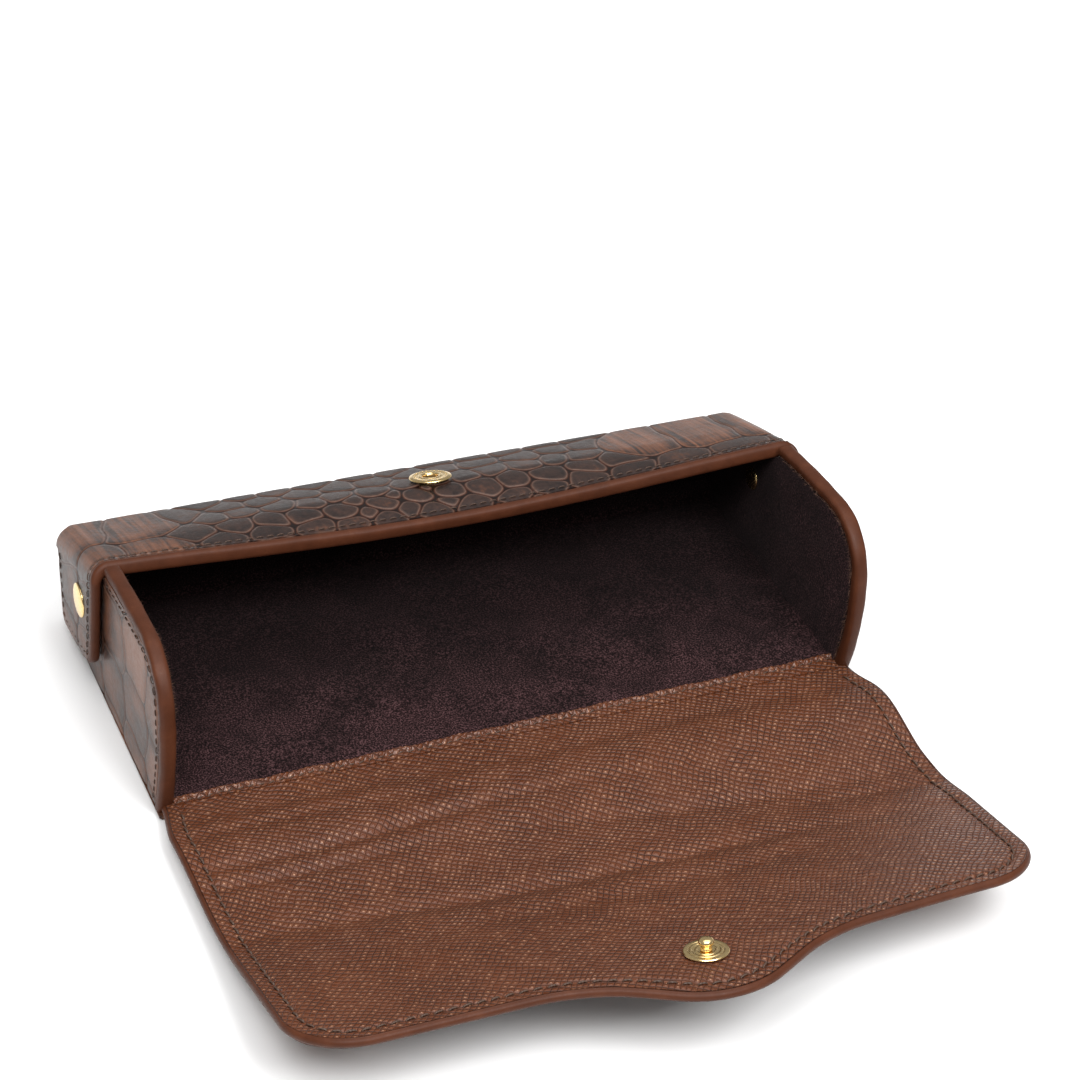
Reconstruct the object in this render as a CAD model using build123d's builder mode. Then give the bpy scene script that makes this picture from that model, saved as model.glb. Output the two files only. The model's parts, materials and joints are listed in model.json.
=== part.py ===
from build123d import *
from math import acos, asin, atan2, cos, degrees, hypot, radians, sin, tan
import os

# An eyeglasses case: a stiff half-barrel box with an open front, closed by a leather flap that wraps
# round the curved front and snaps onto the top.  X runs along the case, -Y is the front, +Z is up.
# The origin is on the underside, in the middle of the length, above the foot of the front curve.
# All sizes are in millimetres.

# ---- Driving dimensions: the case -------------------------------------------------------------
CASE_LENGTH = 166.0        # outer face of one end panel to the other
BACK_Y = 73.7              # outer face of the upright back
LIP_Y = 41.0               # front edge of the top panel
LIP_Z = 38.3
TOP_BACK_Z = 26.5          # height at which the sloping top meets the back
CASE_FRONT_Y = -1.4        # front edge of the floor

FRONT_MOST_Y = -3.4        # the front curve: foremost point, height of it, and three tangent arcs
FRONT_MOST_Z = 20.0
FRONT_RADIUS = 60.0
SHOULDER_RADIUS = 14.5
CROWN_RADIUS = 259.0
FRONT_ARC_RISE = 8.63      # degrees above level where the front arc runs into the shoulder
CROWN_TILT = 2.8           # degrees past the top where the shoulder runs into the crown
FOOT_Z = 3.0               # height at which the flap leaves the front curve

LEATHER = 1.1              # embossed outer leather
BOARD = 1.5                # stiffening boards
SUEDE = 0.7                # suede lining
END_BOARD = 1.6            # board of the end panels
END_COVER = 1.0            # leather on the end panels
BINDING_DEPTH = 2.6        # turned edge on the curved edge of each end panel
CORNER_RADIUS = 4.0        # outer corners of the back
CORNER_GAP = 3.0           # boards stop short of the corners
BINDING_EDGE_RADIUS = 1.0  # softened edges of the turned bindings
FIT = 0.1                  # space between parts that slide past each other when the case is made
BACK_BOARD_GAP = 1.5       # the back's board stops short of the top panel's lining
SIDE_STOP = 6.0            # the back's full length ends this far under the top, below the folds
STEP_GAP = 0.8             # end panels' front curve to the lip's turned edge

FOLD_RADIUS = 4.5          # outside of the fold at each end of the top panel
EAR_LINING = 0.9
EAR_STAND_OFF = 0.8        # air between an ear and the end panel
EAR_FRONT_LOW = (43.6, 8.9)        # the ear's corners: front bottom, back bottom, back top
EAR_BACK_LOW = (65.6, 6.0)
EAR_BACK_HIGH_Y = 72.6
EAR_CORNER_RADIUS = 3.6

LIP_BINDING_HEIGHT = 3.2
LIP_BINDING_DEPTH = 2.2
EAR_BINDING_END_Z = 12.2   # the turned edge on the ear stops above its rounded corner

RIVET_Y = 50.0
RIVET_Z = 22.5
RIVET_CAP_RADIUS = 4.0
RIVET_CAP_HEIGHT = 0.8
RIVET_CAP_RIM = 0.3
RIVET_CAP_FACE = 0.5       # space between the post's end and the inner cap
RIVET_INNER_CAP_RADIUS = 2.9
RIVET_POST_RADIUS = 1.2
RIVET_TUBE_RADIUS = 1.6
RIVET_HOLE_RADIUS = 1.7

HINGE_TAB_DEPTH = 7.2      # liner turned in over the suede and sewn to the floor
HINGE_TAB_THICKNESS = 0.9

SOCKET_FROM_LIP = 18.8     # centre of the press-stud socket behind the lip
SOCKET_RADIUS = 5.0
SOCKET_RISE = 1.3          # top of the socket over the leather
SOCKET_RIM = 0.8           # thickness of the socket's disc
SOCKET_NECK_RADIUS = 3.4
SOCKET_TUBE_RADIUS = 2.7
SOCKET_MOUTH_RADIUS = 2.0
SOCKET_EDGE_WIDTH = 0.4    # chamfer of the disc's upper edge
SOCKET_EDGE_DROP = 0.3
SOCKET_GROOVE_RADIUS = 2.45
SOCKET_GROOVE_ROOF = 0.35  # metal over the spring's groove
SOCKET_GROOVE_HEIGHT = 0.6
SOCKET_FLOOR = 0.3         # thickness of the socket's closed bottom
SOCKET_DEPTH = 1.6         # bottom of the mouth under the leather's face
SPRING_RADIUS = 2.05
SPRING_WIRE_RADIUS = 0.22
SPRING_GAP_ANGLE = 40.0
EYELET_RADIUS = 4.0        # washer that clamps the socket from below
EYELET_THICKNESS = 0.4

# ---- Driving dimensions: the flap -------------------------------------------------------------
FLAP_HALF_WIDTH = 84.3
FLAP_LINER = 1.0
FLAP_BOARD = 0.7
FLAP_COVER = 1.0
FLAP_THICKNESS = FLAP_LINER + FLAP_BOARD + FLAP_COVER
FLAP_OFFSET = 0.9          # liner to the front curve, closed
LIP_CLEARANCE = 1.2        # liner to the top face at the lip, closed
STRIP_GAP = 0.3
STRIP_RELIEF_ANGLE = 8.0   # slant of the strips' ends, so that they can bend a little both ways
FLAP_CORNER_RADIUS = 15.0
FRONT_EDGE_BEYOND_STUD = 2.0
TONGUE_BEYOND_STUD = 14.7
TONGUE_RADIUS = 22.0
TONGUE_FLANK_ANGLE = 30.0
TONGUE_FILLET_RADIUS = 40.0

# Where the strips' joints lie on the front curve's arcs when the flap is closed, in degrees about the
# arcs' centres.
FRONT_JOINT_ANGLE = 183.0
SHOULDER_JOINT_ANGLES = [148.0, 118.0]
CROWN_JOINT_STEP = 3.1     # past the end of the shoulder

# The flap's eight strips lie like this when it is open, in degrees above level, hinge first.
OPEN_ANGLES = [15.0, 2.0, 0.0, 2.0, 8.0, 17.0, 18.0, 17.5]

STUD_BASE_RADIUS = 4.7
STUD_BASE_RISE = 0.35
STUD_RING_RADII = [2.2, 3.4]   # raised rings on the stud's base
STUD_RING_WIDTH = 0.35
STUD_RING_RISE = 0.15
STUD_NECK_RADIUS = 1.15
STUD_HEAD_RADIUS = 1.6
STUD_HEAD_LENGTH = 1.5
STUD_HEAD_TAPER = 0.3      # the head's lower edge widens over this height
STUD_DOME_RISE = 0.9
STUD_HEIGHT = 3.0
STUD_SEAT_GAP = 0.25       # stud's rings to the socket's disc, closed: the two are not quite parallel
STUD_SHANK_RADIUS = 0.9
STUD_BACKING_RADIUS = 4.0

# ---- Places worked out from the driving dimensions -----------------------------------------------
HALF_LENGTH = CASE_LENGTH / 2
TOP_SLOPE = degrees(atan2(LIP_Z - TOP_BACK_Z, BACK_Y - LIP_Y))
TOP_ALONG = (cos(radians(TOP_SLOPE)), -sin(radians(TOP_SLOPE)))
TOP_NORMAL = (sin(radians(TOP_SLOPE)), cos(radians(TOP_SLOPE)))
PANEL = LEATHER + BOARD + SUEDE
INNER_X = HALF_LENGTH - END_COVER - END_BOARD - SUEDE
FOLD_X = HALF_LENGTH + EAR_STAND_OFF + EAR_LINING + LEATHER - FOLD_RADIUS
EAR_OUTER_X = FOLD_X + FOLD_RADIUS
EAR_TOP_END = (EAR_BACK_HIGH_Y - LIP_Y) / TOP_ALONG[0] - FOLD_RADIUS * tan(radians(TOP_SLOPE))
STEP_Y = LIP_Y - LIP_BINDING_HEIGHT * TOP_NORMAL[0] - STEP_GAP

FRONT_CENTRE = (FRONT_MOST_Y + FRONT_RADIUS, FRONT_MOST_Z)
SHOULDER_CENTRE = (
    FRONT_CENTRE[0] - (FRONT_RADIUS - SHOULDER_RADIUS) * cos(radians(FRONT_ARC_RISE)),
    FRONT_CENTRE[1] + (FRONT_RADIUS - SHOULDER_RADIUS) * sin(radians(FRONT_ARC_RISE)),
)
SHOULDER_END = 90 - CROWN_TILT
CROWN_CENTRE = (
    SHOULDER_CENTRE[0] - (CROWN_RADIUS - SHOULDER_RADIUS) * cos(radians(SHOULDER_END)),
    SHOULDER_CENTRE[1] - (CROWN_RADIUS - SHOULDER_RADIUS) * sin(radians(SHOULDER_END)),
)


def on_top(along, height):
    """The (y, z) of a point `along` the top panel from its lip and `height` over its face."""
    return (
        LIP_Y + along * TOP_ALONG[0] + height * TOP_NORMAL[0],
        LIP_Z + along * TOP_ALONG[1] + height * TOP_NORMAL[1],
    )


def under_top(y, depth):
    """The z of the point at `y` that is `depth` below the top panel's face."""
    return LIP_Z - (y - LIP_Y) * tan(radians(TOP_SLOPE)) - depth / cos(radians(TOP_SLOPE))


def top_plane(along, height, x=0.0):
    """A plane on the top panel, its x along the case and its z away from the panel."""
    y, z = on_top(along, height)
    return Plane(origin=(x, y, z), x_dir=(1, 0, 0), z_dir=(0, *TOP_NORMAL))


def top_section_plane(x):
    """An upright plane across the case, its x along the top panel and its y away from the panel."""
    return Plane(origin=(x, LIP_Y, LIP_Z), x_dir=(0, *TOP_ALONG), z_dir=(1, 0, 0))


def fold_axis(side):
    """The line that the top panel's end is folded about; a positive turn goes outwards and down."""
    y, z = on_top(0, -FOLD_RADIUS)
    return Axis((side * FOLD_X, y, z), (0, side * TOP_ALONG[0], side * TOP_ALONG[1]))


def front_angles(inset, low_z, end_y):
    """Where the front curve, moved in by `inset`, starts and ends, in degrees about its arcs' centres."""
    low = 180 + degrees(asin((FRONT_MOST_Z - low_z) / (FRONT_RADIUS - inset)))
    high = degrees(acos((end_y - CROWN_CENTRE[0]) / (CROWN_RADIUS - inset)))
    return low, high


def front_curve(inset, low_z, end_y):
    """The three tangent arcs of the front curve, from its foot over the shoulder to the lip."""
    low, high = front_angles(inset, low_z, end_y)
    shoulder_start = 180 - FRONT_ARC_RISE
    CenterArc(FRONT_CENTRE, FRONT_RADIUS - inset, low, shoulder_start - low)
    CenterArc(SHOULDER_CENTRE, SHOULDER_RADIUS - inset, shoulder_start, SHOULDER_END - shoulder_start)
    CenterArc(CROWN_CENTRE, CROWN_RADIUS - inset, SHOULDER_END, high - SHOULDER_END)


def front_point(inset, low_z, end_y, at_foot):
    """The front curve's first or last point."""
    low, high = front_angles(inset, low_z, end_y)
    centre, radius, angle = (FRONT_CENTRE, FRONT_RADIUS, low) if at_foot else (CROWN_CENTRE, CROWN_RADIUS, high)
    reach = radius - inset
    return centre[0] + reach * cos(radians(angle)), centre[1] + reach * sin(radians(angle))


def end_panel_layer(x_from, x_to, inset):
    """One layer of an end panel: the front curve, a step under the lip, and the flat back and bottom."""
    foot = front_point(inset, LEATHER, STEP_Y, at_foot=True)
    head = front_point(inset, LEATHER, STEP_Y, at_foot=False)
    back = BACK_Y - LEATHER - FIT
    ceiling = PANEL + FIT
    with BuildPart() as layer:
        with BuildSketch(Plane.YZ.offset(x_from)):
            with BuildLine():
                front_curve(inset, LEATHER, STEP_Y)
                Polyline(
                    head,
                    (STEP_Y, under_top(STEP_Y, ceiling)),
                    (back, under_top(back, ceiling)),
                    (back, LEATHER),
                    foot,
                )
            make_face()
        extrude(amount=x_to - x_from)
        back_corners = layer.edges().filter_by(Axis.X).sort_by(Axis.Y)[-2:]
        fillet(back_corners, CORNER_RADIUS - LEATHER)
        with BuildSketch(Plane.YZ.offset(x_from)):
            with Locations((RIVET_Y, RIVET_Z)):
                Circle(RIVET_HOLE_RADIUS)
        extrude(amount=x_to - x_from, mode=Mode.SUBTRACT)
    return layer.part


def wrapped_band(outer_depth, inner_depth, half_width):
    """A layer that follows floor, back and top between two depths under the outer face."""
    with BuildPart() as band:
        with BuildSketch(Plane.YZ):
            with BuildLine():
                faces = []
                for depth in (outer_depth, inner_depth):
                    back = BACK_Y - depth
                    face = FilletPolyline(
                        (CASE_FRONT_Y, depth),
                        (back, depth),
                        (back, under_top(back, depth)),
                        on_top(LIP_BINDING_DEPTH, -depth),
                        radius=CORNER_RADIUS - depth,
                    )
                    faces.append(face)
                Line(faces[0] @ 0, faces[1] @ 0)
                Line(faces[0] @ 1, faces[1] @ 1)
            make_face()
        extrude(amount=half_width, both=True)
    return band.part


def dome_radius(half_width, rise):
    """The radius of the ball that a dome of this half width and rise is cut from."""
    return (half_width**2 + rise**2) / (2 * rise)


def save(part, name):
    """Label one finished piece and write it to its own file."""
    part.label = name
    export_step(part, f"parts/{name}.step")


os.makedirs("parts", exist_ok=True)

# ---- Outer leather: floor, back and top in one piece, with an ear folded down at each end ----------
floor_back_and_top = wrapped_band(0, LEATHER, FOLD_X)

with BuildPart() as outer_wrap:
    add(floor_back_and_top)
    with BuildSketch(Plane.YZ.offset(-HALF_LENGTH)):
        with BuildLine():
            corner_z = under_top(BACK_Y, SIDE_STOP)
            outer = FilletPolyline((CASE_FRONT_Y, 0), (BACK_Y, 0), (BACK_Y, corner_z), radius=CORNER_RADIUS)
            inner = FilletPolyline(
                (CASE_FRONT_Y, LEATHER),
                (BACK_Y - LEATHER, LEATHER),
                (BACK_Y - LEATHER, corner_z),
                radius=CORNER_RADIUS - LEATHER,
            )
            Line(outer @ 0, inner @ 0)
            Line(outer @ 1, inner @ 1)
        make_face()
    extrude(amount=CASE_LENGTH)
    for side in (-1, 1):
        # The fold: a quarter turn of the leather about a line along the end of the top panel.
        fold_plane = top_section_plane(side * FOLD_X)
        with BuildSketch(fold_plane):
            with Locations((LIP_BINDING_DEPTH, 0)):
                Rectangle(EAR_TOP_END - LIP_BINDING_DEPTH, LEATHER, align=(Align.MIN, Align.MAX))
        revolve(axis=fold_axis(side), revolution_arc=90)
        # The ear itself, hanging from the fold.
        ear_face_x = EAR_OUTER_X - LEATHER if side > 0 else -EAR_OUTER_X
        with BuildSketch(Plane.YZ.offset(ear_face_x)):
            with BuildLine():
                Polyline(
                    on_top(LIP_BINDING_DEPTH, -FOLD_RADIUS),
                    EAR_FRONT_LOW,
                    EAR_BACK_LOW,
                    on_top(EAR_TOP_END, -FOLD_RADIUS),
                    close=True,
                )
            make_face()
            ear_corners = vertices().sort_by(Axis.Y)[:2]
            fillet(ear_corners, EAR_CORNER_RADIUS)
            with Locations((RIVET_Y, RIVET_Z)):
                Circle(RIVET_HOLE_RADIUS, mode=Mode.SUBTRACT)
        extrude(amount=LEATHER)
    with BuildSketch(top_plane(SOCKET_FROM_LIP, -LEATHER)):
        Circle(SOCKET_TUBE_RADIUS + FIT)
    extrude(amount=LEATHER, mode=Mode.SUBTRACT)
save(outer_wrap.part, "outer_wrap")

# ---- Stiffening boards of the case ---------------------------------------------------------------
with BuildPart() as bottom_board:
    with BuildSketch(Plane.XY.offset(LEATHER)):
        with Locations((0, CASE_FRONT_Y)):
            board_depth = BACK_Y - LEATHER - CORNER_GAP - CASE_FRONT_Y
            Rectangle(2 * INNER_X, board_depth, align=(Align.CENTER, Align.MIN))
    extrude(amount=BOARD)
save(bottom_board.part, "bottom_board")

with BuildPart() as back_board:
    board_low = LEATHER + CORNER_GAP
    board_high = under_top(BACK_Y - LEATHER - BOARD, PANEL) - BACK_BOARD_GAP
    with BuildSketch(Plane.XZ.offset(-(BACK_Y - LEATHER))):
        with Locations((0, board_low)):
            Rectangle(2 * INNER_X, board_high - board_low, align=(Align.CENTER, Align.MIN))
    extrude(amount=BOARD)
save(back_board.part, "back_board")

TOP_BOARD_END = (BACK_Y - LIP_Y) / TOP_ALONG[0] - LEATHER - CORNER_GAP
with BuildPart() as top_board:
    with BuildSketch(top_plane(LIP_BINDING_DEPTH, -LEATHER - BOARD)):
        board_run = TOP_BOARD_END - LIP_BINDING_DEPTH
        Rectangle(2 * FOLD_X, board_run, align=(Align.CENTER, Align.MIN))
        with Locations((0, SOCKET_FROM_LIP - LIP_BINDING_DEPTH)):
            Circle(EYELET_RADIUS + FIT, mode=Mode.SUBTRACT)
    extrude(amount=BOARD)
save(top_board.part, "top_board")

# ---- Suede lining of floor, back and top ---------------------------------------------------------
with BuildPart() as body_lining:
    add(wrapped_band(LEATHER + BOARD, PANEL, INNER_X))
save(body_lining.part, "body_lining")

# ---- Lip binding: a turned edge along the lip, round both folds and down the front of both ears -----
with BuildPart() as lip_binding:
    with BuildSketch(top_section_plane(-FOLD_X)):
        Rectangle(LIP_BINDING_DEPTH, LIP_BINDING_HEIGHT, align=(Align.MIN, Align.MAX))
        front_corners = vertices().sort_by(Axis.X)[:2]
        fillet(front_corners, BINDING_EDGE_RADIUS)
    extrude(amount=2 * FOLD_X)
    ear_thickness = LEATHER + EAR_LINING
    for side in (-1, 1):
        with BuildSketch(top_section_plane(side * FOLD_X)):
            Rectangle(LIP_BINDING_DEPTH, ear_thickness, align=(Align.MIN, Align.MAX))
        revolve(axis=fold_axis(side), revolution_arc=90)
        strip_x = EAR_OUTER_X - ear_thickness if side > 0 else -EAR_OUTER_X
        back_y, back_z = on_top(LIP_BINDING_DEPTH, -FOLD_RADIUS)
        front_y, front_z = on_top(0, -FOLD_RADIUS)
        lean = (EAR_FRONT_LOW[0] - back_y) / (back_z - EAR_FRONT_LOW[1])
        low_y = back_y + lean * (back_z - EAR_BINDING_END_Z)
        with BuildSketch(Plane.YZ.offset(strip_x)):
            with BuildLine():
                Polyline(
                    (front_y, front_z),
                    (back_y, back_z),
                    (low_y, EAR_BINDING_END_Z),
                    (low_y - LIP_BINDING_DEPTH, EAR_BINDING_END_Z),
                    close=True,
                )
            make_face()
        extrude(amount=ear_thickness)
save(lip_binding.part, "lip_binding")

# ---- End panels: board between leather and suede, with a turned edge round the curve ----------------
for side, hand in ((-1, "left"), (1, "right")):
    outer_x = side * HALF_LENGTH
    board_outer_x = side * (HALF_LENGTH - END_COVER)
    board_inner_x = side * (HALF_LENGTH - END_COVER - END_BOARD)
    save(end_panel_layer(board_outer_x, outer_x, BINDING_DEPTH), f"end_cover_{hand}")
    save(end_panel_layer(board_inner_x, board_outer_x, BINDING_DEPTH), f"end_board_{hand}")
    save(end_panel_layer(side * INNER_X, board_inner_x, BINDING_DEPTH), f"end_lining_{hand}")

    with BuildPart() as end_binding:
        with BuildSketch(Plane.YZ.offset(side * INNER_X)):
            with BuildLine():
                front_curve(0, LEATHER, STEP_Y)
                front_curve(BINDING_DEPTH, LEATHER, STEP_Y)
                for at_foot in (True, False):
                    Line(
                        front_point(0, LEATHER, STEP_Y, at_foot),
                        front_point(BINDING_DEPTH, LEATHER, STEP_Y, at_foot),
                    )
            make_face()
        extrude(amount=side * (HALF_LENGTH - INNER_X))
    save(end_binding.part, f"end_binding_{hand}")

    with BuildPart() as ear_lining:
        lining_x = side * (HALF_LENGTH + EAR_STAND_OFF)
        with BuildSketch(Plane.YZ.offset(lining_x)):
            with BuildLine():
                Polyline(
                    on_top(LIP_BINDING_DEPTH, -FOLD_RADIUS),
                    EAR_FRONT_LOW,
                    EAR_BACK_LOW,
                    on_top(EAR_TOP_END, -FOLD_RADIUS),
                    close=True,
                )
            make_face()
            ear_corners = vertices().sort_by(Axis.Y)[:2]
            fillet(ear_corners, EAR_CORNER_RADIUS)
            with Locations((RIVET_Y, RIVET_Z)):
                Circle(RIVET_HOLE_RADIUS, mode=Mode.SUBTRACT)
        extrude(amount=side * EAR_LINING)
    save(ear_lining.part, f"ear_lining_{hand}")

# ---- Rivets that hold the ears to the end panels: a cap with a post, and a smaller cap with a tube ----
rivet_axis = Axis((0, RIVET_Y, RIVET_Z), (1, 0, 0))
with BuildPart() as rivet_caps:
    for side in (-1, 1):
        with BuildSketch(Plane(origin=(0, RIVET_Y, RIVET_Z), x_dir=(side, 0, 0), z_dir=(0, 1, 0))):
            with BuildLine():
                post_end = INNER_X + RIVET_CAP_FACE
                Polyline(
                    (EAR_OUTER_X + RIVET_CAP_HEIGHT, 0),
                    (post_end, 0),
                    (post_end, RIVET_POST_RADIUS),
                    (EAR_OUTER_X, RIVET_POST_RADIUS),
                    (EAR_OUTER_X, RIVET_CAP_RADIUS),
                    (EAR_OUTER_X + RIVET_CAP_RIM, RIVET_CAP_RADIUS),
                )
                RadiusArc(
                    (EAR_OUTER_X + RIVET_CAP_RIM, RIVET_CAP_RADIUS),
                    (EAR_OUTER_X + RIVET_CAP_HEIGHT, 0),
                    dome_radius(RIVET_CAP_RADIUS, RIVET_CAP_HEIGHT - RIVET_CAP_RIM),
                )
            make_face()
        revolve(axis=rivet_axis)
save(rivet_caps.part, "rivet_caps")

with BuildPart() as rivet_tubes:
    for side in (-1, 1):
        with BuildSketch(Plane(origin=(0, RIVET_Y, RIVET_Z), x_dir=(side, 0, 0), z_dir=(0, 1, 0))):
            with BuildLine():
                tube_bore = RIVET_POST_RADIUS + FIT / 2
                tube_end = EAR_OUTER_X - LEATHER
                cap_low = INNER_X - RIVET_CAP_HEIGHT
                Polyline(
                    (INNER_X - RIVET_CAP_RIM, RIVET_INNER_CAP_RADIUS),
                    (INNER_X, RIVET_INNER_CAP_RADIUS),
                    (INNER_X, RIVET_TUBE_RADIUS),
                    (tube_end, RIVET_TUBE_RADIUS),
                    (tube_end, tube_bore),
                    (INNER_X + FIT, tube_bore),
                    (INNER_X + FIT, 0),
                    (cap_low, 0),
                )
                RadiusArc(
                    (cap_low, 0),
                    (INNER_X - RIVET_CAP_RIM, RIVET_INNER_CAP_RADIUS),
                    dome_radius(RIVET_INNER_CAP_RADIUS, RIVET_CAP_HEIGHT - RIVET_CAP_RIM),
                )
            make_face()
        revolve(axis=rivet_axis)
save(rivet_tubes.part, "rivet_tubes")

# ---- The press stud's socket in the top panel: disc with a deep mouth, ring spring and washer ---------
socket_y, socket_z = on_top(SOCKET_FROM_LIP, 0)
socket_axis = Axis((0, socket_y, socket_z), (0, *TOP_NORMAL))
socket_section = Plane(
    origin=(0, socket_y, socket_z), x_dir=(1, 0, 0), z_dir=(0, -TOP_NORMAL[1], TOP_NORMAL[0])
)
groove_high = SOCKET_RISE - SOCKET_GROOVE_ROOF
groove_low = groove_high - SOCKET_GROOVE_HEIGHT

with BuildPart() as snap_socket:
    with BuildSketch(socket_section):
        with BuildLine():
            Polyline(
                (SOCKET_MOUTH_RADIUS, SOCKET_RISE),
                (SOCKET_RADIUS - SOCKET_EDGE_WIDTH, SOCKET_RISE),
                (SOCKET_RADIUS, SOCKET_RISE - SOCKET_EDGE_DROP),
                (SOCKET_RADIUS, SOCKET_RISE - SOCKET_RIM),
                (SOCKET_NECK_RADIUS, SOCKET_RISE - SOCKET_RIM),
                (SOCKET_NECK_RADIUS, 0),
                (SOCKET_TUBE_RADIUS, 0),
                (SOCKET_TUBE_RADIUS, -SOCKET_DEPTH - SOCKET_FLOOR),
                (0, -SOCKET_DEPTH - SOCKET_FLOOR),
                (0, -SOCKET_DEPTH),
                (SOCKET_MOUTH_RADIUS, -SOCKET_DEPTH),
                (SOCKET_MOUTH_RADIUS, groove_low),
                (SOCKET_GROOVE_RADIUS, groove_low),
                (SOCKET_GROOVE_RADIUS, groove_high),
                (SOCKET_MOUTH_RADIUS, groove_high),
                close=True,
            )
        make_face()
    revolve(axis=socket_axis)
save(snap_socket.part, "snap_socket")

with BuildPart() as socket_spring:
    with BuildSketch(socket_section):
        with Locations((SPRING_RADIUS, (groove_low + groove_high) / 2)):
            Circle(SPRING_WIRE_RADIUS)
    revolve(axis=socket_axis, revolution_arc=360 - SPRING_GAP_ANGLE)
save(socket_spring.part, "socket_spring")

with BuildPart() as socket_washer:
    with BuildSketch(top_plane(SOCKET_FROM_LIP, -LEATHER - EYELET_THICKNESS)):
        Circle(EYELET_RADIUS)
        Circle(SOCKET_TUBE_RADIUS + FIT, mode=Mode.SUBTRACT)
    extrude(amount=EYELET_THICKNESS)
save(socket_washer.part, "socket_washer")

# ---- Hinge tab: the flap's liner, turned in over the suede and sewn down along the front of the floor --
with BuildPart() as hinge_tab:
    with BuildSketch(Plane.XY.offset(PANEL)):
        with Locations((0, CASE_FRONT_Y)):
            Rectangle(2 * (INNER_X - FIT), HINGE_TAB_DEPTH, align=(Align.CENTER, Align.MIN))
    extrude(amount=HINGE_TAB_THICKNESS)
save(hinge_tab.part, "hinge_tab")


# ---- The flap: eight strips, hinged on the liner's surface ------------------------------------------
def offset_point(centre, radius, angle):
    """A point of the front curve, moved out by the flap's clearance."""
    reach = radius + FLAP_OFFSET
    return centre[0] + reach * cos(radians(angle)), centre[1] + reach * sin(radians(angle))


def closed_joints():
    """Where the strips' joints lie round the front curve when the flap is closed, as (y, z)."""
    foot_angle = 180 + degrees(asin((FRONT_MOST_Z - FOOT_Z) / FRONT_RADIUS))
    front_angles_of_joints = [foot_angle, FRONT_JOINT_ANGLE, 180 - FRONT_ARC_RISE]
    shoulder_angles_of_joints = [*SHOULDER_JOINT_ANGLES, SHOULDER_END]
    points = [offset_point(FRONT_CENTRE, FRONT_RADIUS, angle) for angle in front_angles_of_joints]
    points += [offset_point(SHOULDER_CENTRE, SHOULDER_RADIUS, angle) for angle in shoulder_angles_of_joints]
    points += [offset_point(CROWN_CENTRE, CROWN_RADIUS, SHOULDER_END - CROWN_JOINT_STEP)]
    points += [on_top(-STRIP_GAP, LIP_CLEARANCE)]
    return points


CLOSED_JOINTS = closed_joints()
STRIP_LENGTHS = [
    hypot(after[0] - before[0], after[1] - before[1])
    for before, after in zip(CLOSED_JOINTS, CLOSED_JOINTS[1:])
]
STUD_ALONG = SOCKET_FROM_LIP + STRIP_GAP
CLOSED_ANGLES = [
    degrees(atan2(after[1] - before[1], before[0] - after[0])) % 360
    for before, after in zip(CLOSED_JOINTS, CLOSED_JOINTS[1:])
]
STUD_SEAT_RISE = SOCKET_RISE + STUD_BASE_RISE + STUD_RING_RISE + STUD_SEAT_GAP
LAST_STRIP_LIFT = degrees(asin((STUD_SEAT_RISE - LIP_CLEARANCE) / STUD_ALONG))
CLOSED_ANGLES.append(180 + TOP_SLOPE - LAST_STRIP_LIFT)


def open_joints():
    """The joints' (y, z) with the flap open: each strip follows on from the one before."""
    points = [CLOSED_JOINTS[0]]
    for length, angle in zip(STRIP_LENGTHS, OPEN_ANGLES):
        y, z = points[-1]
        points.append((y - length * cos(radians(angle)), z + length * sin(radians(angle))))
    return points


OPEN_JOINTS = open_joints()
STRIP_COUNT = len(OPEN_ANGLES)
FRONT_EDGE = STUD_ALONG + FRONT_EDGE_BEYOND_STUD
TONGUE_TIP = STUD_ALONG + TONGUE_BEYOND_STUD


def strip_section_plane(index):
    """Across a strip: x along it, away from the hinge, and y down through it from the liner."""
    angle = radians(OPEN_ANGLES[index])
    return Plane(origin=(0, *OPEN_JOINTS[index]), x_dir=(0, -cos(angle), sin(angle)), z_dir=(1, 0, 0))


def strip_face_plane(index):
    """On a strip's liner: x along the case, y away from the hinge, and z down through the strip."""
    angle = radians(OPEN_ANGLES[index])
    return Plane(origin=(0, *OPEN_JOINTS[index]), x_dir=(1, 0, 0), z_dir=(0, -sin(angle), -cos(angle)))


def tongue_outline():
    """Half of the last strip's outline: rounded corner, hollow flank and round tip."""
    flank = radians(TONGUE_FLANK_ANGLE)
    tip_end = (TONGUE_RADIUS * sin(flank), TONGUE_TIP - TONGUE_RADIUS * (1 - cos(flank)))
    hollow_y = FRONT_EDGE + TONGUE_FILLET_RADIUS * (1 - cos(flank))
    hollow_x = tip_end[0] + (tip_end[1] - hollow_y) / tan(flank)
    hollow_end_x = hollow_x + TONGUE_FILLET_RADIUS * sin(flank)
    corner_x = FLAP_HALF_WIDTH - FLAP_CORNER_RADIUS
    corner_y = FRONT_EDGE - FLAP_CORNER_RADIUS
    CenterArc((0, TONGUE_TIP - TONGUE_RADIUS), TONGUE_RADIUS, 90, -TONGUE_FLANK_ANGLE)
    Line(tip_end, (hollow_x, hollow_y))
    CenterArc(
        (hollow_end_x, FRONT_EDGE + TONGUE_FILLET_RADIUS),
        TONGUE_FILLET_RADIUS,
        270 - TONGUE_FLANK_ANGLE,
        TONGUE_FLANK_ANGLE,
    )
    Line((hollow_end_x, FRONT_EDGE), (corner_x, FRONT_EDGE))
    CenterArc((corner_x, corner_y), FLAP_CORNER_RADIUS, 90, -90)
    Polyline((FLAP_HALF_WIDTH, corner_y), (FLAP_HALF_WIDTH, 0), (0, 0), (0, TONGUE_TIP))


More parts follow.
